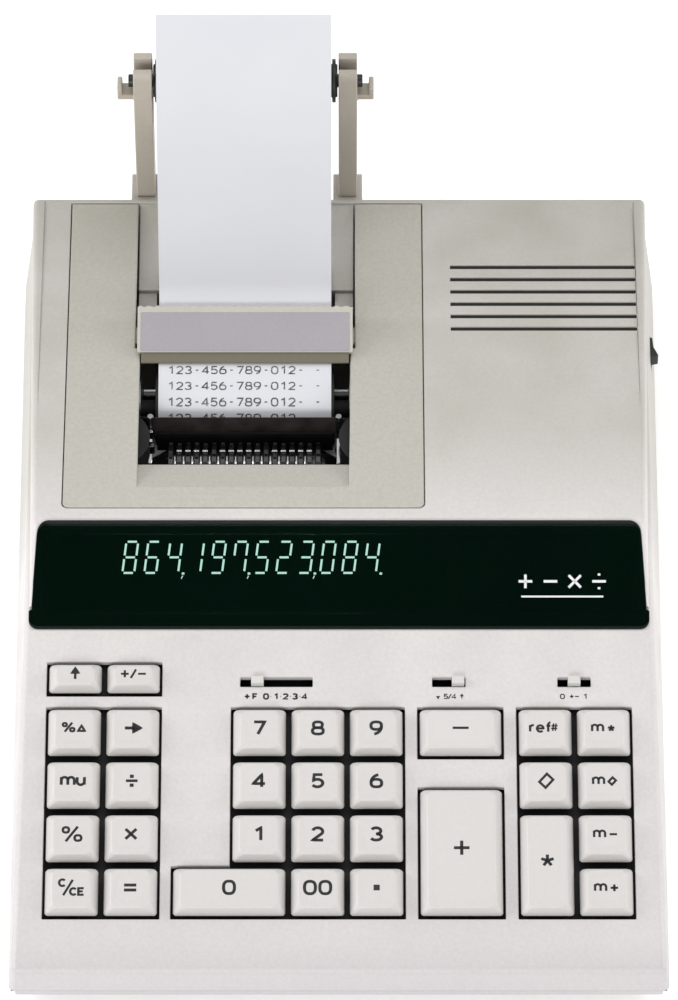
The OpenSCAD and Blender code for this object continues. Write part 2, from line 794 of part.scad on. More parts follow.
// Paper from the roll down to the chute, round the platen and up past the tear bar
function paper_line() =
    let (
        r_wrap = platen_r + 0.15,
        drop_y = spindle_y - roll_r - 0.45,
        bend_r = 8,
        floor_at = chute_z + (drop_y - bend_r - chute_y) * tan(chute_slope) + 0.5,
        c_bend = [drop_y - bend_r, floor_at + bend_r],
        c_lip = [chute_y, chute_z + 0.5] + bend_r * heading(180 + chute_slope + 90),
        c_platen = [platen_y, platen_z],
        gap = c_platen - c_lip,
        dive = atan2(gap[1], gap[0]) + 360 + asin((bend_r + r_wrap) / norm(gap)),
        leave = c_platen + r_wrap * heading(bar_tilt + 90),
        run = 30.6,
        c_exit = leave + run * heading(bar_tilt) + 10 * heading(bar_tilt + 90),
        rise = 72,
        stand = c_exit + 10 * heading(rise - 90) + 46 * heading(rise),
        curl_r = 150,
        c_curl = stand + curl_r * heading(rise - 90)
    ) concat(
        [[drop_y, spindle_z]],
        arc(c_bend, bend_r, 0, chute_slope - 90, 8),
        arc(c_lip, bend_r, 90 + chute_slope, dive - 90, 5),
        arc(c_platen, r_wrap, dive + 90, bar_tilt + 90, 24),
        arc(c_exit, 10, bar_tilt - 90, rise - 90, 8),
        arc(c_curl, curl_r, rise + 90, 140, 8)
    );

module paper_strip() {
    color(paper_white) placed() side_sweep(printer_x - paper_w / 2, printer_x + paper_w / 2) {
        band(paper_line(), paper_t);
    }
}

// ---- paper roll ----
module paper_arms() {
    color([0.66, 0.64, 0.58]) placed() for (side = [-1, 1]) {
        x = printer_x + side * arm_x;
        side_sweep(x - arm_w / 2, x + arm_w / 2) difference() {
            polygon([
                [297.4, arm_foot], [296.6, 94], [296.6, arm_top - 3], [298.4, arm_top], [308, arm_top],
                [310, arm_top - 3], [310, 94], [307.6, arm_foot]
            ]);
            translate([spindle_y - seat_r, spindle_z]) square([2 * seat_r, 20]);
            translate([spindle_y, spindle_z]) circle(r = seat_r);
        }
        block([x - 2.3, spindle_y - 2.8, 38], [x + 2.3, spindle_y + 2.8, arm_foot + 0.5]);
        translate([x, 0, 0]) mirror([side < 0 ? 1 : 0, 0, 0]) {
            block([arm_w / 2 - 0.2, 300, 99.5], [arm_w / 2 + 5.6, 306, 101.7]);
            block([arm_w / 2 + 3.9, 300, 99.5], [arm_w / 2 + 5.6, 306, 105]);
        }
    }
}

module roll_spindle() {
    reach = arm_x + arm_w / 2 + 1.8;
    hub_r = 5.6;
    color(black) placed() {
        rod_x(spindle_r, printer_x - reach, printer_x + reach, spindle_y, spindle_z);
        rod_x(hub_r, printer_x - 28.5, printer_x + 28.5, spindle_y, spindle_z);
        for (side = [-1, 1]) {
            x = printer_x + side * 29.9;
            rod_x(7.4, x - 0.6, x + 0.6, spindle_y, spindle_z);
            rod_x(hub_r, x - 1.2, x + 1.2, spindle_y, spindle_z);
        }
    }
}

module paper_roll() {
    color(paper_white) placed() difference() {
        rod_x(roll_r, printer_x - paper_w / 2, printer_x + paper_w / 2, spindle_y, spindle_z);
        rod_x(5.7, -2 * cut, 2 * cut, spindle_y, spindle_z);
    }
}

// ---- feet and screws ----
module rubber_feet() {
    color(black) placed() for (p = FEET) {
        translate([p[0], p[1], 0]) {
            cylinder(r = 7, h = foot_h);
            cylinder(r = 2.4, h = floor_z + 1.5);
        }
    }
}

module case_screws() {
    color(steel) placed() for (p = SCREWS) {
        translate([p[0], p[1], foot_h + 0.6]) cylinder(r = 2.7, h = wall - 0.7);
        translate([p[0], p[1], foot_h + 1]) cylinder(r = screw_r, h = 10.5);
    }
}

top_housing();
bottom_housing();
printer_cover();
tear_bar();
display_window();
display_tube();
circuit_boards();
key_guide_frame();
rubber_dome_mat();
power_transformer();
mains_inlet();
power_rocker();
switch_bodies();
selector_knob(0);  // decimal_selector
selector_knob(1);  // rounding_selector
selector_knob(2);  // print_selector
paper_arms();
roll_spindle();
paper_roll();
paper_strip();
printer_frame();
platen_roller();
type_drum();
ribbon_spool(-1, pack_left);  // ribbon_spool_left
ribbon_spool(1, pack_right);  // ribbon_spool_right
ink_ribbon();
printer_motor();
rubber_feet();
case_screws();
for (i = [0:len(KEYS) - 1]) keycap(i);
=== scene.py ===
"""Looks of a printing desk calculator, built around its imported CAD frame."""

import json
import math

import bmesh
import bpy
from mathutils import Matrix, Vector


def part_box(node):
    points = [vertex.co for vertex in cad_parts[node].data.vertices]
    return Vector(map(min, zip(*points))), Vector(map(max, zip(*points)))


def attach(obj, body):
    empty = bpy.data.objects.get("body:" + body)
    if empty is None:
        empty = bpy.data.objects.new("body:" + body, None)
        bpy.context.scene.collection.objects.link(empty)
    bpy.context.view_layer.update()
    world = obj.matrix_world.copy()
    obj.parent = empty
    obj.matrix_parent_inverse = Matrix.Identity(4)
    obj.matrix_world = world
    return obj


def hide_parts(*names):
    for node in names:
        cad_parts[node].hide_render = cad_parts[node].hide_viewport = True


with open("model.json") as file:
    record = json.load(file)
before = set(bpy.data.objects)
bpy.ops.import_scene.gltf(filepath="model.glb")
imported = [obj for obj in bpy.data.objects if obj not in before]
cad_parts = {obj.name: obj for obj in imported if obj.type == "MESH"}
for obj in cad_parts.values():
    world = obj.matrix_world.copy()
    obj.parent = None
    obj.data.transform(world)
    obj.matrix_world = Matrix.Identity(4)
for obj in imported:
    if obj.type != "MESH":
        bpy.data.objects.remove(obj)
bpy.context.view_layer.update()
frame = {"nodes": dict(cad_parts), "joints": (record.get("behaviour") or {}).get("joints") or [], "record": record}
nodes = frame["nodes"]
joints = {joint["name"]: joint for joint in frame["joints"]}
MM = 0.001

# ---- the calculator's own planes, read from the frame ----
press_axis = joints["key_7_press"]["axis"]
KEY_SLOPE = math.atan2(press_axis[1], -press_axis[2])
LENS_TILT = math.radians(36)
REAR_SLOPE = math.radians(-2.5)
KEY_RISE = 3.3
SKIRT = 0.8


class Plane:
    """A tilted frame about the X axis, in millimetres: u across, v up the slope, w out of it."""

    def __init__(self, slope):
        self.turn = Matrix.Rotation(slope, 3, "X")
        self.back = self.turn.transposed()

    def point(self, u, v, w):
        return self.turn @ Vector((u, v, w)) * MM

    def extents(self, node):
        local = [self.back @ vertex.co / MM for vertex in nodes[node].data.vertices]
        low = [min(p[i] for p in local) for i in range(3)]
        high = [max(p[i] for p in local) for i in range(3)]
        return low, high


keyboard = Plane(KEY_SLOPE)
lens_plane = Plane(LENS_TILT)
DECK_W = keyboard.extents("key_7")[1][2] - KEY_RISE


def in_mm(node):
    """A node's lowest and highest corners at rest, in millimetres."""
    low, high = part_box(node)
    return low / MM, high / MM


# ---- materials ----
def linear(r, g, b):
    """A colour given as 0 to 255 display values, in linear light."""
    channels = [c / 255 / 12.92 if c <= 10 else ((c / 255 + 0.055) / 1.055) ** 2.4 for c in (r, g, b)]
    return tuple(channels) + (1.0,)


def dimmed(colour, share):
    return tuple(c * share for c in colour[:3]) + (1.0,)


class Material:
    """A Principled material with helpers for its procedural nodes."""

    def __init__(self, name, **sockets):
        self.data = bpy.data.materials.new(name)
        self.data.use_nodes = True
        self.nodes = self.data.node_tree.nodes
        self.links = self.data.node_tree.links
        self.shader = self.nodes["Principled BSDF"]
        for socket, value in sockets.items():
            self.shader.inputs[socket.replace("_", " ")].default_value = value
        self.place = self.nodes.new("ShaderNodeTexCoord").outputs["Object"]

    def node(self, kind, **values):
        made = self.nodes.new(kind)
        for key, value in values.items():
            setattr(made, key, value)
        return made

    def link(self, source, target):
        self.links.new(source, target)

    def stretched(self, x, y, z):
        mapping = self.node("ShaderNodeMapping")
        mapping.inputs["Scale"].default_value = (x, y, z)
        self.link(self.place, mapping.inputs["Vector"])
        return mapping.outputs["Vector"]

    def noise(self, scale, detail=3.0, roughness=0.5, place=None):
        made = self.node("ShaderNodeTexNoise")
        made.inputs["Scale"].default_value = scale
        made.inputs["Detail"].default_value = detail
        made.inputs["Roughness"].default_value = roughness
        self.link(place or self.place, made.inputs["Vector"])
        return made.outputs["Fac"]

    def ranged(self, source, low, high, from_low=0.3, from_high=0.7):
        made = self.node("ShaderNodeMapRange")
        ends = {"From Min": from_low, "From Max": from_high, "To Min": low, "To Max": high}
        for socket, value in ends.items():
            made.inputs[socket].default_value = value
        self.link(source, made.inputs["Value"])
        return made.outputs["Result"]

    def mixed(self, factor, first, second):
        made = self.node("ShaderNodeMix", data_type="RGBA")
        for index, value in ((6, first), (7, second)):
            if isinstance(value, tuple):
                made.inputs[index].default_value = value
            else:
                self.link(value, made.inputs[index])
        self.link(factor, made.inputs[0])
        return made.outputs[2]

    def axis_range(self, axis, start, end):
        """0 to 1 along an axis of the row frame, between two places in metres."""
        split = self.node("ShaderNodeSeparateXYZ")
        self.link(self.place, split.inputs[0])
        return self.ranged(split.outputs[axis], 0.0, 1.0, start, end)

    def colour(self, source):
        self.link(source, self.shader.inputs["Base Color"])

    def rough(self, source, low, high):
        self.link(self.ranged(source, low, high), self.shader.inputs["Roughness"])

    def bump(self, source, distance, strength):
        made = self.node("ShaderNodeBump")
        made.inputs["Strength"].default_value = strength
        made.inputs["Distance"].default_value = distance
        self.link(source, made.inputs["Height"])
        self.link(made.outputs["Normal"], self.shader.inputs["Normal"])


TONE_RUN = (-0.17, 0.15)  # where a moulding's tones start and end along Y


def moulded_plastic(name, tones, rough=(0.36, 0.5), grain=1500, depth=0.00003, speckled=0.12):
    """Fine-textured moulding: spark-eroded grain, faint mottling, and tones that run from front to rear, which on
    the case and the cover darken towards the rear as painted shade.
    """
    m = Material(name, IOR=1.5)
    mottle = m.noise(38, 4)
    speckle = m.noise(850, 3)
    ramp = m.node("ShaderNodeValToRGB")
    m.link(m.axis_range(1, *TONE_RUN), ramp.inputs["Fac"])
    stops = ramp.color_ramp.elements
    stops[0].color, stops[1].color = tones[0][1], tones[-1][1]
    stops[0].position, stops[1].position = tones[0][0], tones[-1][0]
    for position, tone in tones[1:-1]:
        stops.new(position).color = tone
    mild = m.mixed(m.ranged(mottle, 0.0, 0.5), ramp.outputs["Color"], dimmed(tones[1][1], 0.95))
    m.colour(m.mixed(m.ranged(speckle, 0.0, speckled), mild, dimmed(tones[-1][1], 0.6)))
    m.rough(mottle, *rough)
    m.bump(m.noise(grain, 2), depth, 0.55)
    return m.data


def black_plastic(name, tone=18, rough=(0.3, 0.45)):
    m = Material(name)
    wear = m.noise(90, 5)
    worn = linear(tone + 12, tone + 11, tone + 11)
    m.colour(m.mixed(m.ranged(wear, 0.0, 1.0), linear(tone, tone, tone + 1), worn))
    m.rough(wear, *rough)
    m.bump(m.noise(1800, 2), 0.00002, 0.4)
    return m.data


def brushed_metal(name, tone=(168, 170, 172), rough=(0.22, 0.38)):
    m = Material(name, Metallic=1.0)
    streaks = m.noise(60, 4, place=m.stretched(1, 30, 30))
    stain = m.noise(45, 4)
    dark = tuple(c * 0.7 for c in tone)
    m.colour(m.mixed(m.ranged(stain, 0.0, 0.6), linear(*tone), linear(*dark)))
    m.rough(stain, *rough)
    m.bump(streaks, 0.00001, 0.5)
    return m.data


def bright_metal(name):
    m = Material(name, Metallic=1.0)
    marks = m.noise(300, 4)
    m.colour(m.mixed(m.ranged(marks, 0.0, 0.4), linear(236, 236, 234), linear(180, 180, 182)))
    m.rough(marks, 0.08, 0.2)
    m.bump(m.noise(900, 2), 0.000004, 0.3)
    return m.data


def paper_stock(name):
    m = Material(name, IOR=1.4)
    fibre = m.noise(900, 5, 0.7, place=m.stretched(1, 2.2, 1))
    cloud = m.noise(30, 3)
    m.colour(m.mixed(m.ranged(cloud, 0.0, 0.6), linear(212, 213, 217), linear(208, 208, 214)))
    m.rough(cloud, 0.7, 0.85)
    m.bump(fibre, 0.00002, 0.35)
    return m.data


def roll_paper(name, centre):
    """Paper whose ends show the edges of its turns."""
    m = Material(name, IOR=1.4)
    shift = m.node("ShaderNodeVectorMath", operation="SUBTRACT")
    m.link(m.place, shift.inputs[0])
    shift.inputs[1].default_value = centre
    flat = m.node("ShaderNodeVectorMath", operation="MULTIPLY")
    m.link(shift.outputs[0], flat.inputs[0])
    flat.inputs[1].default_value = (0, 1, 1)
    length = m.node("ShaderNodeVectorMath", operation="LENGTH")
    m.link(flat.outputs[0], length.inputs[0])
    rings = m.node("ShaderNodeMath", operation="SINE")
    turns = m.node("ShaderNodeMath", operation="MULTIPLY")
    turns.inputs[1].default_value = 16000
    m.link(length.outputs["Value"], turns.inputs[0])
    m.link(turns.outputs[0], rings.inputs[0])
    band = m.ranged(rings.outputs[0], 0.0, 1.0, -1, 1)
    m.colour(m.mixed(band, linear(238, 238, 242), linear(214, 213, 212)))
    m.rough(m.noise(40), 0.72, 0.88)
    m.bump(band, 0.00004, 0.5)
    return m.data


def acrylic(name):
    """Dark green smoked acrylic with an anti-glare face: nearly black and only faintly see-through."""
    m = Material(name, IOR=1.49, Alpha=0.86, Specular_IOR_Level=0.03)
    smoke = m.noise(14, 3)
    m.colour(m.mixed(m.ranged(smoke, 0.0, 1.0), linear(1, 17, 10), linear(1, 12, 7)))
    m.rough(m.noise(60, 4), 0.08, 0.16)
    m.bump(m.noise(25, 2), 0.00001, 0.15)
    return m.data


def display_glass(name):
    m = Material(name, IOR=1.5, Specular_IOR_Level=0.15)
    grid = m.node("ShaderNodeTexWave", wave_type="BANDS", bands_direction="X")
    grid.inputs["Scale"].default_value = 220
    m.link(m.place, grid.inputs["Vector"])
    m.colour(m.mixed(grid.outputs["Fac"], linear(2, 3, 3), linear(7, 9, 9)))
    m.rough(m.noise(50), 0.1, 0.2)
    m.bump(grid.outputs["Fac"], 0.00002, 0.2)
    return m.data


def glowing(name, colour, strength):
    m = Material(name, Emission_Color=colour, Emission_Strength=strength)
    flicker = m.noise(500, 2)
    m.colour(m.mixed(m.ranged(flicker, 0.0, 1.0), colour, dimmed(colour, 0.8)))
    m.rough(flicker, 0.4, 0.6)
    return m.data


def printed_ink(name, tone, patchy, paper=(200, 198, 204)):
    """Ink whose cover is a little uneven, so that the paper's tone comes through."""
    m = Material(name)
    cover = m.noise(1400, 3)
    m.colour(m.mixed(m.ranged(cover, 0.0, patchy, 0.4, 0.75), linear(tone, tone, tone + 4), linear(*paper)))
    m.rough(m.noise(300), 0.45, 0.65)
    m.bump(cover, 0.00001, 0.3)
    return m.data


def woven_ribbon(name):
    m = Material(name)
    weave = m.node("ShaderNodeTexChecker")
    weave.inputs["Scale"].default_value = 4500
    m.link(m.place, weave.inputs["Vector"])
    patch = m.noise(160, 4)
    m.colour(m.mixed(m.ranged(patch, 0.0, 1.0), linear(30, 25, 25), linear(52, 43, 42)))
    m.rough(patch, 0.5, 0.75)
    m.bump(weave.outputs["Fac"], 0.00003, 0.5)
    return m.data


def rubber(name, tone=26):
    m = Material(name, IOR=1.45)
    bloom = m.noise(70, 5)
    dusty = linear(tone + 18, tone + 18, tone + 17)
    m.colour(m.mixed(m.ranged(bloom, 0.0, 0.8), linear(tone, tone, tone), dusty))
    m.rough(bloom, 0.62, 0.85)
    m.bump(m.noise(1200, 3), 0.00003, 0.5)
    return m.data


def circuit_green(name):
    m = Material(name, Coat_Weight=0.2)
    tracks = m.node("ShaderNodeTexBrick")
    tracks.inputs["Scale"].default_value = 160
    tracks.inputs["Mortar Size"].default_value = 0.03
    tracks.inputs["Color1"].default_value = linear(16, 84, 46)
    tracks.inputs["Color2"].default_value = linear(12, 70, 40)
    tracks.inputs["Mortar"].default_value = linear(70, 130, 80)
    m.link(m.place, tracks.inputs["Vector"])
    m.colour(tracks.outputs["Color"])
    m.rough(m.noise(60), 0.3, 0.45)
    m.bump(tracks.outputs["Fac"], 0.00003, 0.4)
    return m.data


def steady(front, rear):
    """One tone from the front to halfway back, and then a slow change to the rear's."""
    return (0.0, linear(*front)), (0.5, linear(*front)), (1.0, linear(*rear))


# The case's tones are lightest over the keyboard and display and a little darker at the very front. Towards the
# rear deck they fall off as painted shade, where the deck faces away from the front light, with a little yellowing
# of the plastic.
DECK_TONES_WITH_PAINTED_SHADE = (
    (0.0, linear(188, 184, 188)), (0.06, linear(206, 202, 202)), (0.5, linear(216, 212, 210)),
    (0.62, linear(186, 183, 175)), (1.0, linear(171, 168, 157)),
)
KEY_TONES = ((0.0, linear(203, 200, 199)), (0.5, linear(208, 205, 201)), (1.0, linear(208, 205, 201)))
CASE = moulded_plastic("case_plastic", DECK_TONES_WITH_PAINTED_SHADE)
# The cover darkens towards the rear in the same way: painted shade, with a little yellowing.
COVER = moulded_plastic(
    "cover_plastic", steady((190, 187, 178), (168, 165, 154)), grain=1100, depth=0.00005, speckled=0.2
)
KEY = moulded_plastic("key_plastic", KEY_TONES, (0.34, 0.46), 2200, 0.000015, 0.08)
ARM = moulded_plastic("arm_plastic", steady((184, 176, 163), (178, 170, 157)))
BAR_RIM = moulded_plastic("bar_rim_plastic", steady((188, 185, 175), (184, 181, 170)))
# The tear bar's lip: an olive skirt, darkened with painted shade under the bar's front edge.
BAR_LIP_SHADED = moulded_plastic("bar_lip_painted_shade", steady((112, 107, 90), (108, 103, 86)))
BAR_FACE = moulded_plastic(
    "bar_face_plastic", steady((158, 154, 159), (154, 150, 155)), (0.3, 0.45), 2400, 0.00001
)
BLACK = black_plastic("black_plastic")
SHADE = black_plastic("shade_plastic", 5, (0.6, 0.8))
GLOSS_BLACK = black_plastic("type_plastic", 12, (0.12, 0.25))
STEEL = brushed_metal("zinc_steel")
BRIGHT = bright_metal("bright_steel")
PAPER = paper_stock("paper")
LENS = acrylic("smoked_acrylic")
TUBE = display_glass("display_glass")
GLOW = glowing("display_glow", linear(206, 255, 238), 40.0)
LEGEND = printed_ink("legend_ink", 12, 0.08, (90, 88, 86))
PRINT = printed_ink("printer_ink", 40, 0.5)
MARK = printed_ink("pale_print", 226, 0.3, (190, 196, 192))
RIBBON = woven_ribbon("inked_ribbon")
RUBBER = rubber("black_rubber")
DOME = rubber("dome_rubber", 150)
BOARD = circuit_green("circuit_board")
IRON = brushed_metal("laminated_iron", (92, 92, 96), (0.45, 0.6))
BY_SLOT = {
    "case": CASE, "keycap": KEY, "tear_bar": BAR_RIM, "window": LENS, "tube": TUBE, "board": BOARD,
    "black_plastic": BLACK, "dome_rubber": DOME, "iron": IRON, "arm_plastic": ARM, "paper": PAPER,
    "steel": STEEL, "platen": RUBBER, "type_wheels": GLOSS_BLACK, "ribbon": RIBBON, "rubber": RUBBER,
}
SLOT_OF = {row["node"]: row["material_slot"] for row in frame["record"]["subparts"]}
BODY_OF = {node: body for body, members in frame["record"]["behaviour"]["bodies"].items() for node in members}


# ---- mesh helpers ----
def finished(bm, name, material, body, replaces=(), smooth_under=40, more_materials=()):
    """Turns a bmesh into a piece that rides on a body."""
    bmesh.ops.recalc_face_normals(bm, faces=bm.faces)
    mesh = bpy.data.meshes.new(name)
    bm.to_mesh(mesh)
    bm.free()
    piece = bpy.data.objects.new(name, mesh)
    bpy.context.scene.collection.objects.link(piece)
    for one in (material, *more_materials):
        mesh.materials.append(one)
    mesh.shade_smooth()
    mesh.set_sharp_from_angle(angle=math.radians(smooth_under))
    even_shading = piece.modifiers.new("even_shading", "WEIGHTED_NORMAL")
    even_shading.keep_sharp = True
    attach(piece, body)
    if replaces:
        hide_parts(*replaces)
    return piece


def cad_copy(node):
    """A welded copy of a CAD node's mesh, with its flat faces made whole."""
    bm = bmesh.new()
    bm.from_mesh(nodes[node].data)
    bmesh.ops.remove_doubles(bm, verts=bm.verts, dist=2e-6)
    bmesh.ops.dissolve_limit(bm, angle_limit=math.radians(0.4), verts=bm.verts, edges=bm.edges)
    return bm


def ease_edges(bm, width, segments, over=40, wanted=lambda e: True):
    """Rounds the edges that are sharper than an angle, where wanted() agrees."""
    least = math.radians(over)
    sharp = [e for e in bm.edges if len(e.link_faces) == 2 and e.calc_face_angle() > least and wanted(e)]
    bmesh.ops.bevel(
        bm, geom=sharp, offset=width * MM, offset_type="OFFSET", segments=segments, profile=0.5,
        affect="EDGES", clamp_overlap=False,
    )


def refined(node, width, segments, material=None):
    """The CAD node again, with its edges eased and its finish on."""
    bm = cad_copy(node)
    ease_edges(bm, width, segments)
    slot = SLOT_OF[node]
    return finished(bm, node + "_finished", material or BY_SLOT[slot], BODY_OF[node], (node,))


def hull_of(points):
    """The convex form round some points."""
    bm = bmesh.new()
    for p in points:
        bm.verts.new(p)
    made = bmesh.ops.convex_hull(bm, input=bm.verts)
    inside = [v for v in made["geom_interior"] if isinstance(v, bmesh.types.BMVert)]
    bmesh.ops.delete(bm, geom=inside, context="VERTS")
    bmesh.ops.dissolve_limit(bm, angle_limit=math.radians(0.3), verts=bm.verts, edges=bm.edges)
    return bm


def scratch(bm, name):
    """An object for combine() to work on."""
    mesh = bpy.data.meshes.new(name)
    bmesh.ops.recalc_face_normals(bm, faces=bm.faces)
    bm.to_mesh(mesh)
    bm.free()
    made = bpy.data.objects.new(name, mesh)
    bpy.context.scene.collection.objects.link(made)
    return made


def combine(first, second, operation):
    """first with second added, cut away or intersected. second is used up."""
    modifier = first.modifiers.new("combine", "BOOLEAN")
    modifier.object = second
    modifier.operation = operation
    modifier.solver = "EXACT"
    result = bpy.data.meshes.new_from_object(first.evaluated_get(bpy.context.evaluated_depsgraph_get()))
    first.modifiers.clear()
    first.data = result
    bpy.data.objects.remove(second)
    return first


def solid_box(bm, low, high, turn=None):
    """Adds a box between two corners in millimetres, turned about the origin if asked."""
    made = bmesh.ops.create_cube(bm, size=1.0)
    centre = (Vector(low) + Vector(high)) / 2
    size = Vector(high) - Vector(low)
    for v in made["verts"]:
        local = centre + Vector((v.co.x * size.x, v.co.y * size.y, v.co.z * size.z))
        v.co = (turn @ local if turn else local) * MM
    return made["verts"]


def rounded_ring(x0, x1, y0, y1, radius, per_corner=5):
    """Points round a rectangle with rounded corners, anticlockwise."""
    ring = []
    for cx, cy, start in ((x1, y1, 0), (x0, y1, 90), (x0, y0, 180), (x1, y0, 270)):
        ox = cx - radius if cx == x1 else cx + radius
        oy = cy - radius if cy == y1 else cy + radius
        for i in range(per_corner + 1):
            a = math.radians(start + 90 * i / per_corner)
            ring.append((ox + radius * math.cos(a), oy + radius * math.sin(a)))
    return ring


def loft(bm, rings):
    """Skins closed rings of equal count, given as lists of Vectors, and closes both ends."""
    levels = [[bm.verts.new(p) for p in ring] for ring in rings]
    for low, high in zip(levels, levels[1:]):
        for i in range(len(low)):
            j = (i + 1) % len(low)
            bm.faces.new((low[i], low[j], high[j], high[i]))
    bm.faces.new(list(reversed(levels[0])))
    bm.faces.new(levels[-1])


# ---- strokes: legends, print and display segments ----
def curve(cx, cy, rx, ry, start, end, steps=14):
    """Points along part of an ellipse, between two angles in degrees."""
    return [
        (cx + rx * math.cos(math.radians(start + (end - start) * i / steps)),
         cy + ry * math.sin(math.radians(start + (end - start) * i / steps)))
        for i in range(steps + 1)
    ]


def squarish(cx, cy, rx, ry):
    """Points round an ellipse with squarer shoulders, back to the first one."""
    power, steps = 2.6, 28
    points = []
    for i in range(steps):
        a = 2 * math.pi * i / steps
        c, s = math.cos(a), math.sin(a)
        points.append((
            cx + rx * math.copysign(abs(c) ** (2 / power), c),
            cy + ry * math.copysign(abs(s) ** (2 / power), s),
        ))
    return points + [points[0]]


SIX = [squarish(0.4, 0.31, 0.39, 0.31), curve(0.66, 0.36, 0.65, 0.64, 100, 178)]
GLYPHS = {
    "0": (0.8, [squarish(0.4, 0.5, 0.4, 0.5)]),
    "1": (0.55, [[(0.05, 0.76), (0.42, 1.0), (0.42, 0.0)]]),
    "2": (0.8, [curve(0.4, 0.7, 0.37, 0.3, 165, -35) + [(0.02, 0.0), (0.8, 0.0)]]),
    "3": (0.8, [curve(0.37, 0.75, 0.35, 0.25, 155, -90) + curve(0.37, 0.25, 0.4, 0.25, 90, -155)]),
    "4": (0.86, [[(0.62, 0.0), (0.62, 1.0), (0.0, 0.27), (0.86, 0.27)]]),
    "5": (0.8, [[(0.74, 1.0), (0.14, 1.0), (0.08, 0.52)] + curve(0.37, 0.31, 0.4, 0.31, 128, -150)]),
    "6": (0.8, SIX),
    "7": (0.8, [[(0.0, 1.0), (0.78, 1.0), (0.28, 0.0)]]),
    "8": (0.8, [squarish(0.4, 0.76, 0.33, 0.24), squarish(0.4, 0.26, 0.4, 0.26)]),
    "9": (0.8, [[(0.8 - x, 1.0 - y) for x, y in line] for line in SIX]),
    "+": (0.9, [[(0.0, 0.5), (0.9, 0.5)], [(0.45, 0.05), (0.45, 0.95)]]),
    "-": (0.9, [[(0.0, 0.5), (0.9, 0.5)]]),
    "x": (0.8, [[(0.0, 0.1), (0.8, 0.9)], [(0.0, 0.9), (0.8, 0.1)]]),
    "div": (0.9, [[(0.0, 0.5), (0.9, 0.5)], [(0.45, 0.88), (0.45, 1.02)], [(0.45, -0.02), (0.45, 0.12)]]),
    "=": (0.9, [[(0.0, 0.7), (0.9, 0.7)], [(0.0, 0.3), (0.9, 0.3)]]),
    "mid": (0.2, [[(0.1, 0.42), (0.1, 0.58)]]),
    "block": (0.2, [[(0.1, 0.3), (0.1, 0.7)]]),
    "/": (0.6, [[(0.0, -0.05), (0.6, 1.05)]]),
    "%": (1.25, [squarish(0.2, 0.8, 0.2, 0.19), [(0.2, -0.05), (1.0, 1.05)], squarish(1.02, 0.2, 0.22, 0.2)]),
    "up": (0.7, [[(0.35, 0.0), (0.35, 0.62)], [(0.35, 1.0), (0.08, 0.6), (0.62, 0.6), (0.35, 1.0)],
                 [(0.35, 0.62), (0.35, 0.9)]]),
    "down": (0.7, [[(0.35, 0.38), (0.35, 0.1)], [(0.35, 0.0), (0.08, 0.5), (0.62, 0.5), (0.35, 0.0)]]),
    "right": (1.0, [[(0.0, 0.5), (0.6, 0.5)], [(1.0, 0.5), (0.58, 0.76), (0.58, 0.24), (1.0, 0.5)],
                    [(0.55, 0.5), (0.85, 0.5)]]),
    "delta": (0.8, [[(0.0, 0.0), (0.4, 0.7), (0.8, 0.0), (0.0, 0.0)]]),
    "diamond": (0.9, [[(0.0, 0.42), (0.5, 1.0), (0.9, 0.58), (0.4, 0.0), (0.0, 0.42)]]),
    "*": (0.8, [[(0.4 + 0.42 * math.cos(a), 0.5 + 0.42 * math.sin(a)), (0.4, 0.5)]
                for a in [math.radians(90 + 72 * i) for i in range(5)]]),
    "#": (0.8, [[(0.2, 0.0), (0.32, 1.0)], [(0.5, 0.0), (0.62, 1.0)], [(0.0, 0.33), (0.76, 0.33)],
                [(0.05, 0.68), (0.8, 0.68)]]),
    "m": (1.1, [[(0.0, 0.0), (0.0, 0.7)], curve(0.27, 0.43, 0.27, 0.27, 180, 0) + [(0.54, 0.0)],
                curve(0.81, 0.43, 0.27, 0.27, 180, 0) + [(1.08, 0.0)]]),
    "u": (0.65, [[(0.0, 0.7)] + curve(0.3, 0.3, 0.3, 0.3, 180, 360) + [(0.6, 0.7)],
                 [(0.6, 0.4), (0.6, 0.0)]]),
    "r": (0.4, [[(0.0, 0.0), (0.0, 0.7)], curve(0.3, 0.38, 0.3, 0.32, 180, 75)]),
    "e": (0.65, [[(0.02, 0.36), (0.62, 0.36)] + curve(0.32, 0.35, 0.32, 0.35, 5, 315)]),
    "f": (0.45, [curve(0.38, 0.74, 0.2, 0.26, 80, 180) + [(0.18, 0.0)], [(0.0, 0.66), (0.4, 0.66)]]),
    "C": (0.85, [curve(0.45, 0.5, 0.45, 0.5, 42, 318, 20)]),
    "E": (0.75, [[(0.75, 1.0), (0.0, 1.0), (0.0, 0.0), (0.75, 0.0)], [(0.0, 0.52), (0.62, 0.52)]]),
    "F": (0.7, [[(0.7, 1.0), (0.0, 1.0), (0.0, 0.0)], [(0.0, 0.5), (0.58, 0.5)]]),
}


def line_of(text, height, weight, space=0.28, at=(0.0, 0.0)):
    """Strokes for a row of glyphs centred at a point: (points, half width) in millimetres."""
    width = sum(GLYPHS[g][0] for g in text) + space * (len(text) - 1)
    x, strokes = -width / 2, []
    for g in text:
        advance, lines = GLYPHS[g]
        for line in lines:
            points = [(at[0] + (x + px) * height, at[1] + (py - 0.5) * height) for px, py in line]
            strokes.append((points, weight / 2))
        x += advance + space
    return strokes


def resampled(points, step):
    """The same line with no two points further apart than a step."""
    out = [points[0]]
    for a, b in zip(points, points[1:]):
        count = max(1, math.ceil(math.dist(a, b) / step))
        dx, dy = b[0] - a[0], b[1] - a[1]
        out += [(a[0] + dx * i / count, a[1] + dy * i / count) for i in range(1, count + 1)]
    return out


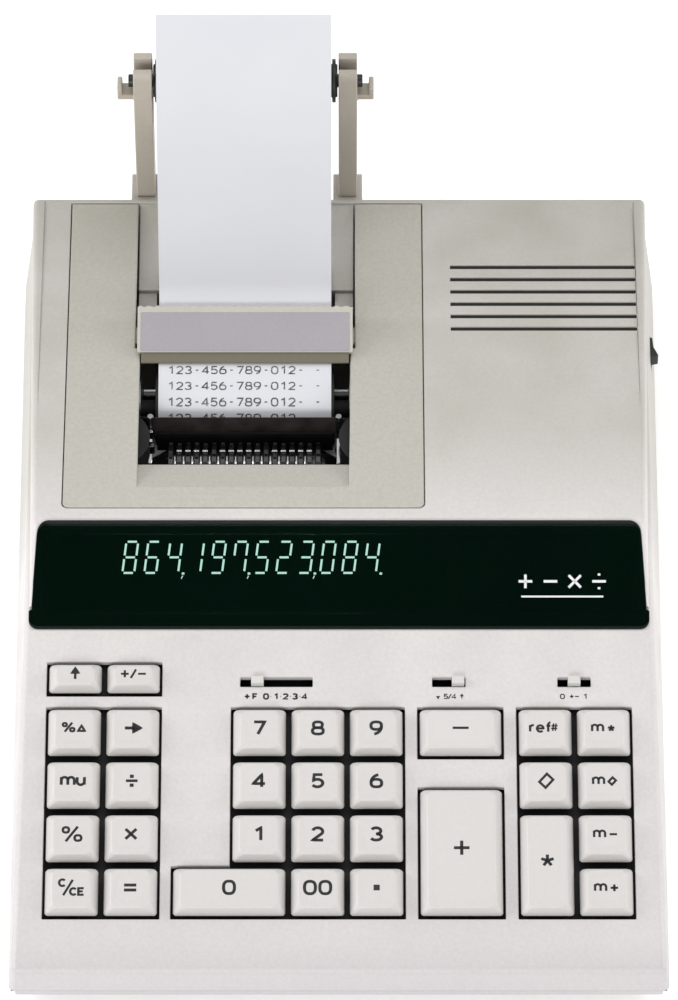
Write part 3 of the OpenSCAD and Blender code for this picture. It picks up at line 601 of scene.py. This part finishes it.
def ribbon_sides(points, half):
    """The two sides of a stroke, with mitred bends of limited length."""
    closed = math.dist(points[0], points[-1]) < 1e-6
    line = points[:-1] if closed else points
    n, left, right = len(line), [], []
    for i, p in enumerate(line):
        before = line[i - 1] if closed or i else p
        after = line[(i + 1) % n] if closed or i < n - 1 else p
        d1 = (Vector(p) - Vector(before)).normalized() if before != p else None
        d2 = (Vector(after) - Vector(p)).normalized() if after != p else None
        d1, d2 = d1 or d2, d2 or d1
        mean = (d1 + d2).normalized() if (d1 + d2).length > 1e-6 else d1
        reach = half / max(0.6, mean.dot(d2))
        normal = Vector((-mean.y, mean.x)) * reach
        left.append(Vector(p) + normal)
        right.append(Vector(p) - normal)
    return left, right, closed


def raised(name, strokes, place, material, body, proud=0.03, sunk=0.08, step=0.6):
    """Solid strokes on a surface: place(x, y, height) gives a point in metres."""
    bm = bmesh.new()
    for points, half in strokes:
        left, right, closed = ribbon_sides(resampled(points, step), half)
        rows = [
            [bm.verts.new(place(p.x, p.y, h)) for p in side]
            for side, h in ((left, proud), (right, proud), (right, -sunk), (left, -sunk))
        ]
        n = len(left)
        for i in range(n if closed else n - 1):
            j = (i + 1) % n
            for a, b in zip(rows, rows[1:] + rows[:1]):
                bm.faces.new((a[i], a[j], b[j], b[i]))
        if not closed:
            bm.faces.new([row[0] for row in rows])
            bm.faces.new([row[-1] for row in reversed(rows)])
    return finished(bm, name, material, body)


# ---- camera, light and floor: the camera stands 2.3 m away and looks down at CAMERA_DOWN ----
CAMERA_DOWN = math.radians(52)
camera = bpy.data.objects.new("camera", bpy.data.cameras.new("camera"))
camera.data.lens = 252
camera.data.sensor_width = 36
camera.data.clip_end = 20
camera.location = (0, -1.4255, 1.8823)
camera.rotation_euler = (math.radians(90) - CAMERA_DOWN, 0, 0)
bpy.context.scene.collection.objects.link(camera)
bpy.context.scene.camera = camera


def soft_light(name, location, size, power):
    """A rectangular light that faces the origin."""
    light = bpy.data.objects.new(name, bpy.data.lights.new(name, "AREA"))
    light.data.shape = "RECTANGLE"
    light.data.size, light.data.size_y = size
    light.data.energy = power
    light.location = location
    light.rotation_euler = (-Vector(location)).to_track_quat("-Z", "Y").to_euler()
    bpy.context.scene.collection.objects.link(light)


soft_light("front_softbox", (-0.5, -2.3, 1.1), (1.8, 0.7), 28)
soft_light("overhead_softbox", (0.2, 0.5, 1.9), (1.6, 1.0), 8)
soft_light("left_softbox", (-1.8, 0.3, 0.8), (1.0, 0.9), 17)
soft_light("right_softbox", (1.8, 0.3, 0.8), (1.0, 0.9), 14)
world = bpy.data.worlds.new("studio")
world.use_nodes = True
world.node_tree.nodes["Background"].inputs["Color"].default_value = (1, 1, 1, 1)
world.node_tree.nodes["Background"].inputs["Strength"].default_value = 0.56
bpy.context.scene.world = world
bpy.context.scene.view_settings.view_transform = "Standard"

floor_finish = Material("pale_floor", Roughness=0.9, Emission_Color=(1, 1, 1, 1), Emission_Strength=0.22)
floor_finish.colour(floor_finish.mixed(floor_finish.noise(3), linear(252, 252, 252), linear(248, 248, 248)))
bpy.ops.mesh.primitive_plane_add(size=12)
floor = bpy.context.object
floor.name = "floor"
floor.data.materials.append(floor_finish.data)

# ---- case ----
CASE_W, CASE_D, PARTING = 213.0, 295.0, 8.5
FRONT_Z, SHOULDER_Z, UPPER_HALF = 18.0, 40.5, 102.9
LENS_Y, LENS_LEN = 121.2, 35.6
FRONT_Y = in_mm("top_housing")[0].y + 1.2
FLANK_DRAFT, FLANK_SPREAD = math.tan(math.radians(7)), 2.5
UPPER_TOP = (101.1, 104.9)


def flank(y, z, limit=1000.0):
    """Left and right points of the case at a distance from its front and a height."""
    x = min(limit, CASE_W / 2 + y * FLANK_SPREAD / CASE_D - FLANK_DRAFT * (z - PARTING))
    return [Vector((side * x, FRONT_Y + y, z)) * MM for side in (-1, 1)]


def rounded_form(points, radius, grow):
    """A convex form with rounded edges, a hair larger than its points."""
    bm = hull_of(points)
    ease_edges(bm, radius, 5, 12)
    bmesh.ops.recalc_face_normals(bm, faces=bm.faces)
    bm.normal_update()
    for v in bm.verts:
        v.co += v.normal * grow * MM
    return bm


def low_form():
    """The keyboard half of the case's envelope, up to the shoulder that runs back beside the rear deck."""
    shoulder = (SHOULDER_Z - FRONT_Z) / math.tan(KEY_SLOPE)
    points = flank(-1.9, 3.5) + flank(0, FRONT_Z) + flank(shoulder, SHOULDER_Z)
    return rounded_form(points + flank(CASE_D, SHOULDER_Z) + flank(CASE_D, 3.5), 2.2, 0.02)


def upper_profile():
    """Where the lens slope meets the rear deck (Y, Z), and the deck's height at the rear."""
    top_y = LENS_Y + LENS_LEN * math.cos(LENS_TILT)
    top_z = FRONT_Z + LENS_Y * math.tan(KEY_SLOPE) + LENS_LEN * math.sin(LENS_TILT)
    return top_y, top_z, top_z + (CASE_D - top_y) * math.tan(REAR_SLOPE)


def upper_wall(side):
    """Extra thickness outside an upper side wall, so that the rounded form alone sets where it is."""
    top_y, top_z, rear_z = upper_profile()
    points = []
    for x in (100.6, 108):
        for y, z in (
            (top_y + 2, SHOULDER_Z + 1.1), (top_y + 2, top_z + 0.3),
            (CASE_D + 0.4, rear_z + 0.3), (CASE_D + 0.4, SHOULDER_Z + 1.1),
        ):
            points.append(Vector((side * x, FRONT_Y + y, z)) * MM)
    return hull_of(points)


def high_form():
    """The raised rear of the case's envelope."""
    foot = 20.0
    lens_z = FRONT_Z + LENS_Y * math.tan(KEY_SLOPE)
    top_y, top_z, rear_z = upper_profile()
    foot_y = LENS_Y - (lens_z - foot) / math.tan(LENS_TILT)
    points = flank(foot_y, foot, UPPER_HALF) + flank(CASE_D, foot, UPPER_HALF)
    for y, z, half in ((top_y, top_z, UPPER_TOP[0]), (CASE_D, rear_z, UPPER_TOP[1])):
        points += [Vector((side * half, FRONT_Y + y, z)) * MM for side in (-1, 1)]
    return rounded_form(points, 2.0, 0.04)


def round_cover_corners(bm, radius):
    """Rounds the two upright edges at the front of the printer cover, or of its opening."""
    low, high = in_mm("printer_cover")
    corners = []
    for e in bm.edges:
        a, b = (v.co / MM for v in e.verts)
        upright = abs(a.x - b.x) < 0.05 and abs(a.y - b.y) < 0.3 and abs(a.z - b.z) > 1
        near = min(abs(a.x - low.x), abs(a.x - high.x)) < 0.6 and abs(a.y - low.y) < 0.9 and a.z > 50
        if upright and near:
            corners.append(e)
    bmesh.ops.bevel(
        bm, geom=corners, offset=radius * MM, offset_type="OFFSET", segments=8, profile=0.5, affect="EDGES",
        clamp_overlap=False,
    )


def top_housing():
    """The CAD housing inside a rounded envelope, so that its outer edges are soft and its cuts stay."""
    case = scratch(cad_copy("top_housing"), "top_housing_finished")
    for side in (-1, 1):
        case = combine(case, scratch(upper_wall(side), "upper_wall"), "UNION")
    form = combine(scratch(low_form(), "low_form"), scratch(high_form(), "high_form"), "UNION")
    arms = in_mm("paper_arms")
    rear = FRONT_Y + CASE_D
    socket_top = 52.3
    inside_walls = 100.7 * MM
    sockets = bmesh.new()
    solid_box(sockets, (arms[0].x - 8, rear - 30, 20), (arms[1].x + 8, rear + 20, socket_top))
    form = combine(form, scratch(sockets, "socket_form"), "UNION")
    case = combine(case, form, "INTERSECT")
    bm = bmesh.new()
    bm.from_mesh(case.data)
    bpy.data.objects.remove(case)
    bmesh.ops.remove_doubles(bm, verts=bm.verts, dist=5e-6)
    bmesh.ops.dissolve_limit(bm, angle_limit=math.radians(0.4), verts=bm.verts, edges=bm.edges)
    round_cover_corners(bm, 2.2)
    ease_edges(bm, 0.36, 2, 50, wanted=lambda e: min(abs(v.co.x) for v in e.verts) < inside_walls)
    return finished(bm, "top_housing_finished", CASE, "case", ("top_housing",), 30)


top_housing()
refined("bottom_housing", 0.5, 2)


def printer_cover():
    bm = cad_copy("printer_cover")
    round_cover_corners(bm, 2.2)
    ease_edges(bm, 0.42, 3)
    finished(bm, "printer_cover_finished", COVER, "cover", ("printer_cover",), 5)


printer_cover()


def vent_shade_fill():
    """Near-black blocks that fill the vent slots from inside, just under the surface: painted shade for the dark
    inside of the slots.
    """
    rear = Plane(REAR_SLOPE)
    top_y, top_z = upper_profile()[:2]
    origin = rear.back @ Vector((0, FRONT_Y + top_y, top_z))
    bm = bmesh.new()
    for i in range(6):
        v = origin.y + 84 + i * 5.62
        solid_box(bm, (37.8, v + 0.05, origin.z - 3.2), (100.9, v + 1.75, origin.z - 0.7), rear.turn)
    finished(bm, "vent_shade_fill", SHADE, "case")


vent_shade_fill()


def parting_shadow_strip():
    """A near-black strip on the tray's front face, under the top housing's overhang: painted shadow where the
    housing sits on the tray.
    """
    bm = bmesh.new()
    front = FRONT_Y + 0.8
    solid_box(bm, (-105.9, front - 0.06, 5.5), (105.9, front + 0.4, 6.05))
    ease_edges(bm, 0.05, 1)
    finished(bm, "parting_shadow_strip", SHADE, "case")


parting_shadow_strip()

# ---- display ----
def display_window():
    """The acrylic window, its face standing up from a wide shallow bevel."""
    bm = cad_copy("display_window")
    middle = sum(lens_plane.extents("display_window")[side][1] for side in (0, 1)) / 2
    for v in bm.verts:
        away = (lens_plane.back @ v.co / MM).y - middle
        v.co += lens_plane.point(0, math.copysign(1.15, away), 0) if abs(away) > 8 else Vector()
    front = max(bm.faces, key=lambda f: (lens_plane.back @ f.calc_center_median()).z)
    rim = list(front.verts)
    bmesh.ops.inset_region(bm, faces=[front], thickness=1.9 * MM, depth=0)
    lower = lens_plane.point(0, 0, -0.45)
    for v in rim:
        v.co += lower
    finished(bm, "display_window_finished", LENS, "case", ("display_window",), 12)


display_window()
lens_low, lens_high = lens_plane.extents("display_window")
tube_low, tube_high = lens_plane.extents("display_tube")
SEGMENTS = {
    "a": ((0, 1), (1, 1)), "b": ((1, 1), (1, 0.5)), "c": ((1, 0.5), (1, 0)), "d": ((0, 0), (1, 0)),
    "e": ((0, 0.5), (0, 0)), "f": ((0, 1), (0, 0.5)), "g": ((0, 0.5), (1, 0.5)),
}
LIT = {
    "0": "abcdef", "1": "bc", "2": "abged", "3": "abgcd", "4": "fgbc", "5": "afgcd", "6": "afgedc",
    "7": "abcf", "8": "abcdefg", "9": "abcdfg",
}
DIGIT = (3.9, 10.3)
DIGIT_PITCH = 7.25
SHOWN = "864,197,523,084."


def display_digits():
    """Seven-segment digits that lean a little, behind the window."""
    strokes, x = [], tube_low[0] + 20.2
    base = lens_low[1] + 17.5
    gap = 0.11
    for mark in SHOWN:
        if mark in ",.":
            strokes.append(([(x - 1.75, base - 0.55), (x - 1.68, base + 0.15)], 0.42))
            if mark == ",":
                strokes.append(([(x - 2.3, base - 1.9), (x - 1.85, base - 0.9)], 0.15))
            continue
        for segment in LIT[mark]:
            (ax, ay), (bx, by) = SEGMENTS[segment]
            ends = []
            for px, py, qx, qy in ((ax, ay, bx, by), (bx, by, ax, ay)):
                px, py = px + (qx - px) * gap, py + (qy - py) * gap * 1.1
                ends.append((x + px * DIGIT[0] + 0.13 * py * DIGIT[1], base + py * DIGIT[1]))
            strokes.append((ends, 0.33))
        x += DIGIT_PITCH
    face = tube_high[2]
    raised(
        "display_digits", strokes, lambda a, b, h: lens_plane.point(a, b, face + h), GLOW, "case",
        proud=0.25, sunk=0.02, step=5,
    )


display_digits()


def operator_marks():
    """A plain row of arithmetic signs printed on the window."""
    centre = (73.5, lens_low[1] + 14.6)
    strokes = line_of(["+", "-", "x", "div"], 5.0, 0.85, 0.75, at=centre)
    strokes.append(([(centre[0] - 13.5, centre[1] - 5.0), (centre[0] + 13.5, centre[1] - 5.0)], 0.3))
    raised(
        "operator_marks", strokes, lambda a, b, h: lens_plane.point(a, b, lens_high[2] + h), MARK, "case",
        step=5,
    )


operator_marks()

# ---- keys ----
SIDE_IN, FRONT_IN, REAR_IN = 1.9, 0.95, 1.3
SHRINK = (0.08, 0.08, 0.6, 0.35)
LIP, LIP_DROP, DISH_RUN = 0.7, 0.4, 2.6
SIDE_PROFILE = (
    (-0.1, -SKIRT), (0.0, 0.0), (0.04, 0.25), (0.25, 1.0), (0.55, 1.9), (0.85, 2.55),
    (1.0, KEY_RISE - LIP_DROP),
)


def top_shape(depth, dished):
    """Height of a key's top above the deck, a given distance in from its outline."""
    if depth < LIP:
        return KEY_RISE - LIP_DROP * (1 - depth / LIP) ** 2
    t = min(1.0, max(0.0, (depth - LIP) / DISH_RUN))
    return KEY_RISE - dished * t * t * (3 - 2 * t)


def keycap(node, legend):
    """One key: a cap with its sides drawn in and its top dished, the stems below it, and its legend."""
    low, high = keyboard.extents(node)
    x0, x1 = low[0] + SHRINK[0], high[0] - SHRINK[1]
    y0, y1 = low[1] + SHRINK[2], high[1] - SHRINK[3]
    tx0, tx1, ty0, ty1 = x0 + SIDE_IN, x1 - SIDE_IN, y0 + FRONT_IN, y1 - REAR_IN
    half_gap = min(tx1 - tx0, ty1 - ty0) / 2
    wide, deep = x1 - x0, y1 - y0
    dished = 0.26 if max(wide, deep) < 20 else 0.12
    rings = []
    for share, w in SIDE_PROFILE:
        across, front, rear = (share * inset for inset in (SIDE_IN, FRONT_IN, REAR_IN))
        ring = rounded_ring(x0 + across, x1 - across, y0 + front, y1 - rear, 1.2 + 0.7 * share)
        rings.append([keyboard.point(x, y, DECK_W + w) for x, y in ring])
    depths = [0.0] + [d for d in (0.12, 0.3, 0.5, 0.7, 1.1, 1.5, 1.9, 2.3, 2.7, 3.1) if d < half_gap - 0.6]
    for depth in depths[1:]:
        ring = rounded_ring(tx0 + depth, tx1 - depth, ty0 + depth, ty1 - depth, max(0.7, 1.9 - depth * 0.4))
        rings.append([keyboard.point(x, y, DECK_W + top_shape(depth, dished)) for x, y in ring])
    bm = bmesh.new()
    loft(bm, rings)
    twin = max(wide, deep) > 22
    for side in (-1, 1) if twin else (0,):
        cx = (x0 + x1) / 2 + side * 0.27 * wide * (wide > deep)
        cy = (y0 + y1) / 2 + side * 0.27 * deep * (deep >= wide)
        solid_box(bm, (cx - 2.2, cy - 2.2, low[2]), (cx + 2.2, cy + 2.2, DECK_W - SKIRT + 0.1), keyboard.turn)
    finished(bm, node + "_cap", KEY, BODY_OF[node], (node,), 35)
    centre = ((tx0 + tx1) / 2, (ty0 + ty1) / 2 + 0.35)

    def place(x, y, h):
        u, v = centre[0] + x, centre[1] + y
        depth = min(u - tx0, tx1 - u, v - ty0, ty1 - v, depths[-1])
        return keyboard.point(u, v, DECK_W + top_shape(depth, dished) + h)

    raised(node + "_legend", legend, place, LEGEND, BODY_OF[node])


DIGIT_H, SMALL_H = 4.4, 3.3
BOLD, THIN = 1.02, 0.78


def digit(mark):
    return line_of([mark], DIGIT_H, BOLD)


def memory(mark):
    """An m with a smaller sign beside it."""
    sign = line_of([mark], SMALL_H * 0.8, THIN, at=(2.4, -0.1))
    return line_of(["m"], SMALL_H, THIN, at=(-2.0, 0.5)) + sign


LEGENDS = {f"key_{n}": digit(str(n)) for n in range(1, 10)}
LEGENDS.update({
    "key_0": digit("0"),
    "key_00": line_of(["0", "0"], DIGIT_H, BOLD, 0.32),
    "key_point": line_of(["block"], 5.0, 2.0),
    "key_feed": line_of(["up"], 3.8, 0.85, at=(0, 0.1)),
    "key_sign": line_of(["+", "/", "-"], 2.8, 0.72, 0.25, at=(0, 0.1)),
    "key_delta": line_of(["%"], 3.0, THIN, at=(-1.8, 0.3)) + line_of(["delta"], 2.7, THIN, at=(2.4, 0.3)),
    "key_arrow": line_of(["right"], 5.0, 1.1),
    "key_markup": line_of(["m", "u"], 3.9, 0.95, 0.22, at=(0, 0.5)),
    "key_divide": (
        line_of(["-"], 4.2, 0.95) + line_of(["block"], 3.0, 1.25, at=(0, 1.6))
        + line_of(["block"], 3.0, 1.25, at=(0, -1.6))
    ),
    "key_percent": line_of(["%"], 4.8, 0.85),
    "key_times": line_of(["x"], 4.4, 1.0),
    "key_clear": (
        line_of(["C"], 2.3, THIN, at=(-2.9, 1.7)) + line_of(["/"], 5.0, THIN, at=(-1.0, 0.0))
        + line_of(["C", "E"], 2.3, THIN, 0.3, at=(1.9, -1.4))
    ),
    "key_equals": line_of(["="], 4.4, 1.05),
    "key_minus": line_of(["-"], 5.8, 0.85),
    "key_plus": line_of(["+"], 5.6, 1.05),
    "key_ref": (
        line_of(["r", "e", "f"], SMALL_H, THIN, at=(-1.6, 0.3)) + line_of(["#"], 2.7, 0.5, at=(2.9, 0.3))
    ),
    "key_memory_total": memory("*"),
    "key_diamond": line_of(["diamond"], 5.0, 0.85),
    "key_memory_diamond": memory("diamond"),
    "key_star": line_of(["*"], 5.0, 1.0),
    "key_memory_minus": memory("-"),
    "key_memory_plus": memory("+"),
})
for key, legend in LEGENDS.items():
    keycap(key, legend)


SELECTORS = ("decimal_selector", "rounding_selector", "print_selector")


def selector_marks():
    """Settings printed on the deck in front of the three slide switches."""
    strokes = []
    extents = [keyboard.extents(name) for name in SELECTORS]
    row = extents[0][0][1] - 3.9
    rounding, printing = ((low[0] + high[0]) / 2 for low, high in extents[1:])
    for mark, x in zip("+F01234", (-30.1, -27.5, -23.9, -20.6, -17.5, -14.4, -11.3)):
        strokes += line_of([mark], 1.8, 0.6, at=(x, row))
    for x in (-22.3, -19.1, -15.9, -12.8):
        strokes += line_of(["mid"], 1.6, 0.3, at=(x, row))
    strokes += line_of(["down"], 1.6, 0.36, at=(rounding - 6.6, row))
    strokes += line_of(["up"], 1.6, 0.36, at=(rounding + 1.2, row))
    strokes += line_of(["5", "/", "4"], 1.6, 0.4, 0.12, at=(rounding - 2.7, row))
    strokes += line_of(["0"], 1.6, 0.4, at=(printing - 3.9, row))
    strokes += line_of(["+", "-"], 1.4, 0.4, 0.3, at=(printing, row))
    strokes += line_of(["1"], 1.6, 0.4, at=(printing + 3.6, row))
    raised(
        "selector_marks", strokes, lambda a, b, h: keyboard.point(a, b, DECK_W + h), LEGEND, "case",
        proud=0.02, sunk=0.04, step=5,
    )


selector_marks()
for name in SELECTORS:
    refined(name, 0.35, 3)

# ---- printer ----
platen_joint = Vector(joints["platen_turn"]["pos_m"]) / MM
drum_joint = Vector(joints["type_drum_turn"]["pos_m"]) / MM
PLATEN_R = 12.0
PAPER_HALF = (in_mm("paper_strip")[1].x - in_mm("paper_strip")[0].x) / 2
printer_x = platen_joint.x


def strip_line():
    """The paper's centre line (Y, Z), from the CAD strip's side outline."""
    edge = in_mm("paper_strip")[0].x
    bm = cad_copy("paper_strip")
    outline = [f for f in bm.faces if abs(f.calc_center_median().x / MM - edge) < 0.01]
    side = max(outline, key=lambda f: f.calc_area())
    loop = [(v.co.y / MM, v.co.z / MM) for v in side.verts]
    bm.free()
    count = len(loop) // 2
    gaps = [math.dist(loop[i], loop[i - 1]) for i in range(len(loop))]
    ends = sorted(range(len(loop)), key=lambda i: gaps[i])[:2]
    start = min(ends)
    ordered = loop[start:] + loop[:start]
    first, second = ordered[:count], list(reversed(ordered[count:]))
    middle = [((a[0] + b[0]) / 2, (a[1] + b[1]) / 2) for a, b in zip(first, second)]
    return middle if middle[0][1] > middle[-1][1] or middle[0][0] > middle[-1][0] else list(reversed(middle))


def even(points, step):
    """Points at even steps along a line."""
    lengths = [0.0]
    for a, b in zip(points, points[1:]):
        lengths.append(lengths[-1] + (b - a).length)
    count = round(lengths[-1] / step)
    out, i = [], 0
    for k in range(count + 1):
        want = lengths[-1] * k / count
        while i < len(points) - 2 and lengths[i + 1] < want:
            i += 1
        span = lengths[i + 1] - lengths[i]
        out.append(points[i].lerp(points[i + 1], (want - lengths[i]) / span if span else 0))
    return out


def paper_strip():
    """One web of paper, thin, whose free end cups more and more towards its cut edge."""
    line = even(strip_line_points, 1.2)[3:-3]
    across = 28
    cupped = 66
    half = 0.05
    bm = bmesh.new()
    upper, under = [], []
    for i, p in enumerate(line):
        ahead = line[min(i + 1, len(line) - 1)] - line[max(i - 1, 0)]
        normal = Vector((-ahead.y, ahead.x)).normalized()
        free = max(0.0, (i - (len(line) - cupped)) / cupped)
        bend = max(1e-3, 0.5 * free * free)
        radius = PAPER_HALF / bend
        rows = ([], [])
        for k in range(across + 1):
            a = (2 * k / across - 1) * bend
            out = Vector((math.sin(a), normal.x * math.cos(a), normal.y * math.cos(a)))
            middle = Vector((printer_x - 1.2 * free, p.x, p.y))
            middle -= Vector((0, normal.x, normal.y)) * radius
            for row, side in zip(rows, (half, -half)):
                row.append(bm.verts.new((middle + out * (radius + side)) * MM))
        upper.append(rows[0])
        under.append(rows[1])
    for i in range(len(line) - 1):
        for k in range(across):
            bm.faces.new((upper[i][k], upper[i][k + 1], upper[i + 1][k + 1], upper[i + 1][k]))
            bm.faces.new((under[i][k], under[i + 1][k], under[i + 1][k + 1], under[i][k + 1]))
        for k in (0, across):
            bm.faces.new((upper[i][k], upper[i + 1][k], under[i + 1][k], under[i][k]))
    for k in range(across):
        for i in (0, len(line) - 1):
            bm.faces.new((upper[i][k], under[i][k], under[i][k + 1], upper[i][k + 1]))
    finished(bm, "paper_strip_web", PAPER, "case", ("paper_strip",), 60)


strip_line_points = [Vector(p) for p in strip_line()]
paper_strip()

PRINT_ROWS = (9.0, 3.2, -2.6, -8.0)
PRINTED = (
    "1", "2", "3", "mid", "4", "5", "6", "mid", "7", "8", "9", "mid", "0", "1", "2", "mid", None, "mid",
)
COLUMN = 2.9


def printed_lines():
    """Four printed rows along the paper, from where it leaves the platen."""
    strokes = []
    first = -PAPER_HALF + 4.2
    for row in PRINT_ROWS:
        for i, mark in enumerate(PRINTED):
            if mark:
                strokes += line_of([mark], 2.6, 0.46 if mark != "mid" else 0.9, at=(first + i * COLUMN, row))
    leave = math.radians(90 + 15)

    def place(x, y, h):
        r = PLATEN_R + 0.2 + h
        a = leave - min(y, 0) / (PLATEN_R + 0.2)
        run = max(y, 0)
        along = platen_joint.y + r * math.cos(a) + run * math.sin(leave)
        up = platen_joint.z + r * math.sin(a) - run * math.cos(leave)
        return Vector((printer_x + x, along, up)) * MM

    raised("printed_lines", strokes, place, PRINT, "case", proud=0.04, sunk=0.02, step=0.5)


printed_lines()

# The ribbon spools take the near-black shade material: their own black made darker still, painted shade in the
# printer well.
for name in ("platen_roller", "printer_motor", "roll_spindle", "ribbon_spool_left", "ribbon_spool_right"):
    refined(name, 0.25, 2, material=SHADE if name.startswith("ribbon_spool") else None)
refined("printer_frame", 0.15, 2, material=STEEL)
refined("ink_ribbon", 0.03, 1)

WHEELS = 18
TYPE_FACES = 13


def type_drum():
    """A row of type wheels with raised faces, on their shaft."""
    low, high = in_mm("type_drum")
    radius = (high.z - low.z) / 2
    bm = bmesh.new()
    sides = 52
    profile = (
        (0.45, radius - 2.2), (0.5, radius - 0.75), (0.75, radius - 0.5),
        (2.15, radius - 0.5), (2.4, radius - 0.75), (2.45, radius - 2.2),
    )
    start = printer_x - WHEELS * COLUMN / 2
    rings = [(low.x, 2.0)]
    for i in range(WHEELS):
        rings += [(start + i * COLUMN + dx, r) for dx, r in profile]
    rings.append((high.x, 2.0))
    angles = [2 * math.pi * k / sides for k in range(sides)]
    skins = []
    for x, r in rings:
        circle = [(drum_joint.y + r * math.cos(a), drum_joint.z + r * math.sin(a)) for a in angles]
        skins.append([Vector((x, y, z)) * MM for y, z in circle])
    loft(bm, skins)
    for i in range(WHEELS):
        x = start + (i + 0.5) * COLUMN
        for k in range(TYPE_FACES):
            angle = 2 * math.pi * (k + 0.37 * (i % 3)) / TYPE_FACES
            turn = Matrix.Rotation(angle, 3, "X")
            foot = solid_box(bm, (-0.55, -1.05, radius - 0.7), (0.55, 1.05, radius), turn)
            for v in foot:
                v.co += Vector((x, drum_joint.y, drum_joint.z)) * MM
    finished(bm, "type_wheels", GLOSS_BLACK, "type_drum", ("type_drum",), 30)


type_drum()


def detent_comb():
    """Bright spring fingers over the type wheels, their tabs, the guide rods either side, and a near-black guard
    plate of painted shade under the ribbon.
    """
    bm = bmesh.new()
    start = printer_x - WHEELS * COLUMN / 2
    y, z = drum_joint.y, drum_joint.z + 11.0
    for i in range(1, WHEELS - 1):
        x = start + i * COLUMN
        solid_box(bm, (x - 0.25, y - 4.6, z - 0.3), (x + 0.25, y - 1.2, z + 0.15))
        if i % 6 != 5:
            solid_box(bm, (x + 0.5, y + 0.9, z - 0.2), (x + 2.3, y + 1.6, z + 0.15))
    for side, ends in ((1, (-4.4, 6.2)), (-1, (-4.4, -0.4))):
        x = printer_x + side * 31.4
        solid_box(bm, (x - 0.6, y + ends[0], z - 0.6), (x + 0.6, y + ends[1], z + 0.5))
    for dy in (5.6, 9.6):
        x = printer_x - 31.5
        solid_box(bm, (x - 0.7, y + dy - 0.8, z - 0.6), (x + 0.7, y + dy + 0.4, z + 0.5))
    ease_edges(bm, 0.1, 1)
    finished(bm, "detent_comb", BRIGHT, "case")
    # A near-black plate in front of the platen, below the ribbon: painted shade of the printer's inside, over the
    # paper there.
    guard = bmesh.new()
    y, z = platen_joint.y - 13.75, platen_joint.z
    solid_box(guard, (printer_x - 29.5, y, z - 5), (printer_x + 29.5, y + 0.35, z + 4.4))
    ease_edges(guard, 0.1, 1)
    finished(guard, "ribbon_guard_shade", SHADE, "case")


detent_comb()


def chute_shelves():
    """Low steps of the case either side of the paper, just behind the tear bar."""
    bm = bmesh.new()
    for side in (-1, 1):
        ends = sorted((printer_x + side * (PAPER_HALF + 1.2), printer_x + side * 36.5))
        solid_box(bm, (ends[0], FRONT_Y + 247.2, 46.0), (ends[1], FRONT_Y + 257.2, 49.1))
    ease_edges(bm, 0.3, 2)
    finished(bm, "chute_shelves", CASE, "case")


chute_shelves()

# ---- tear bar, arms and the rest ----
def tear_bar():
    """The tear bar: a pale rim round a grey face, and an olive lip below it, its dark tone partly painted shade
    under the bar's front edge.
    """
    bm = cad_copy("tear_bar")
    ease_edges(bm, 0.15, 2)
    bm.normal_update()
    # Faces low and at the front of the bar, under its front edge, take the dark lip colour: the lip's olive, with
    # painted shade.
    for f in bm.faces:
        middle = f.calc_center_median() / MM
        if middle.y < FRONT_Y + 222.5 and middle.z < 59.6:
            f.material_index = 1
    finished(bm, "tear_bar_finished", BAR_RIM, "cover", ("tear_bar",), 30, (BAR_LIP_SHADED,))
    tilt = Plane(math.radians(15))
    front = tilt.back @ Vector((0, FRONT_Y + 222.3, 60.0))
    half, length = 36.2, 17.2
    rings = []
    for inset, rise in ((0.0, -0.2), (0.0, 0.02), (0.12, 0.12), (0.5, 0.14)):
        ring = rounded_ring(
            printer_x - half + 1.0 + inset, printer_x + half - 1.0 - inset,
            front.y + 0.3 + inset, front.y + length - 2.6 - inset, 0.5,
        )
        rings.append([tilt.point(x, y, front.z + rise) for x, y in ring])
    face = bmesh.new()
    loft(face, rings)
    finished(face, "tear_bar_face", BAR_FACE, "cover", (), 40)


tear_bar()
refined("paper_arms", 0.45, 3)
refined("mains_inlet", 0.3, 2)
refined("power_rocker", 0.5, 3)
refined("rubber_feet", 0.6, 3)
refined("case_screws", 0.3, 2)
refined("paper_roll", 0.3, 2, material=roll_paper("roll_paper", tuple(joints["paper_roll_turn"]["pos_m"])))

# ---- every other CAD node keeps its shape and gets its finish ----
for name, node in nodes.items():
    if not node.hide_render:
        node.data.materials.clear()
        # The key guide frame takes the near-black shade material: its own black made darker still, painted shade
        # in the gaps between the keys.
        node.data.materials.append(SHADE if name == "key_guide_frame" else BY_SLOT[SLOT_OF[name]])
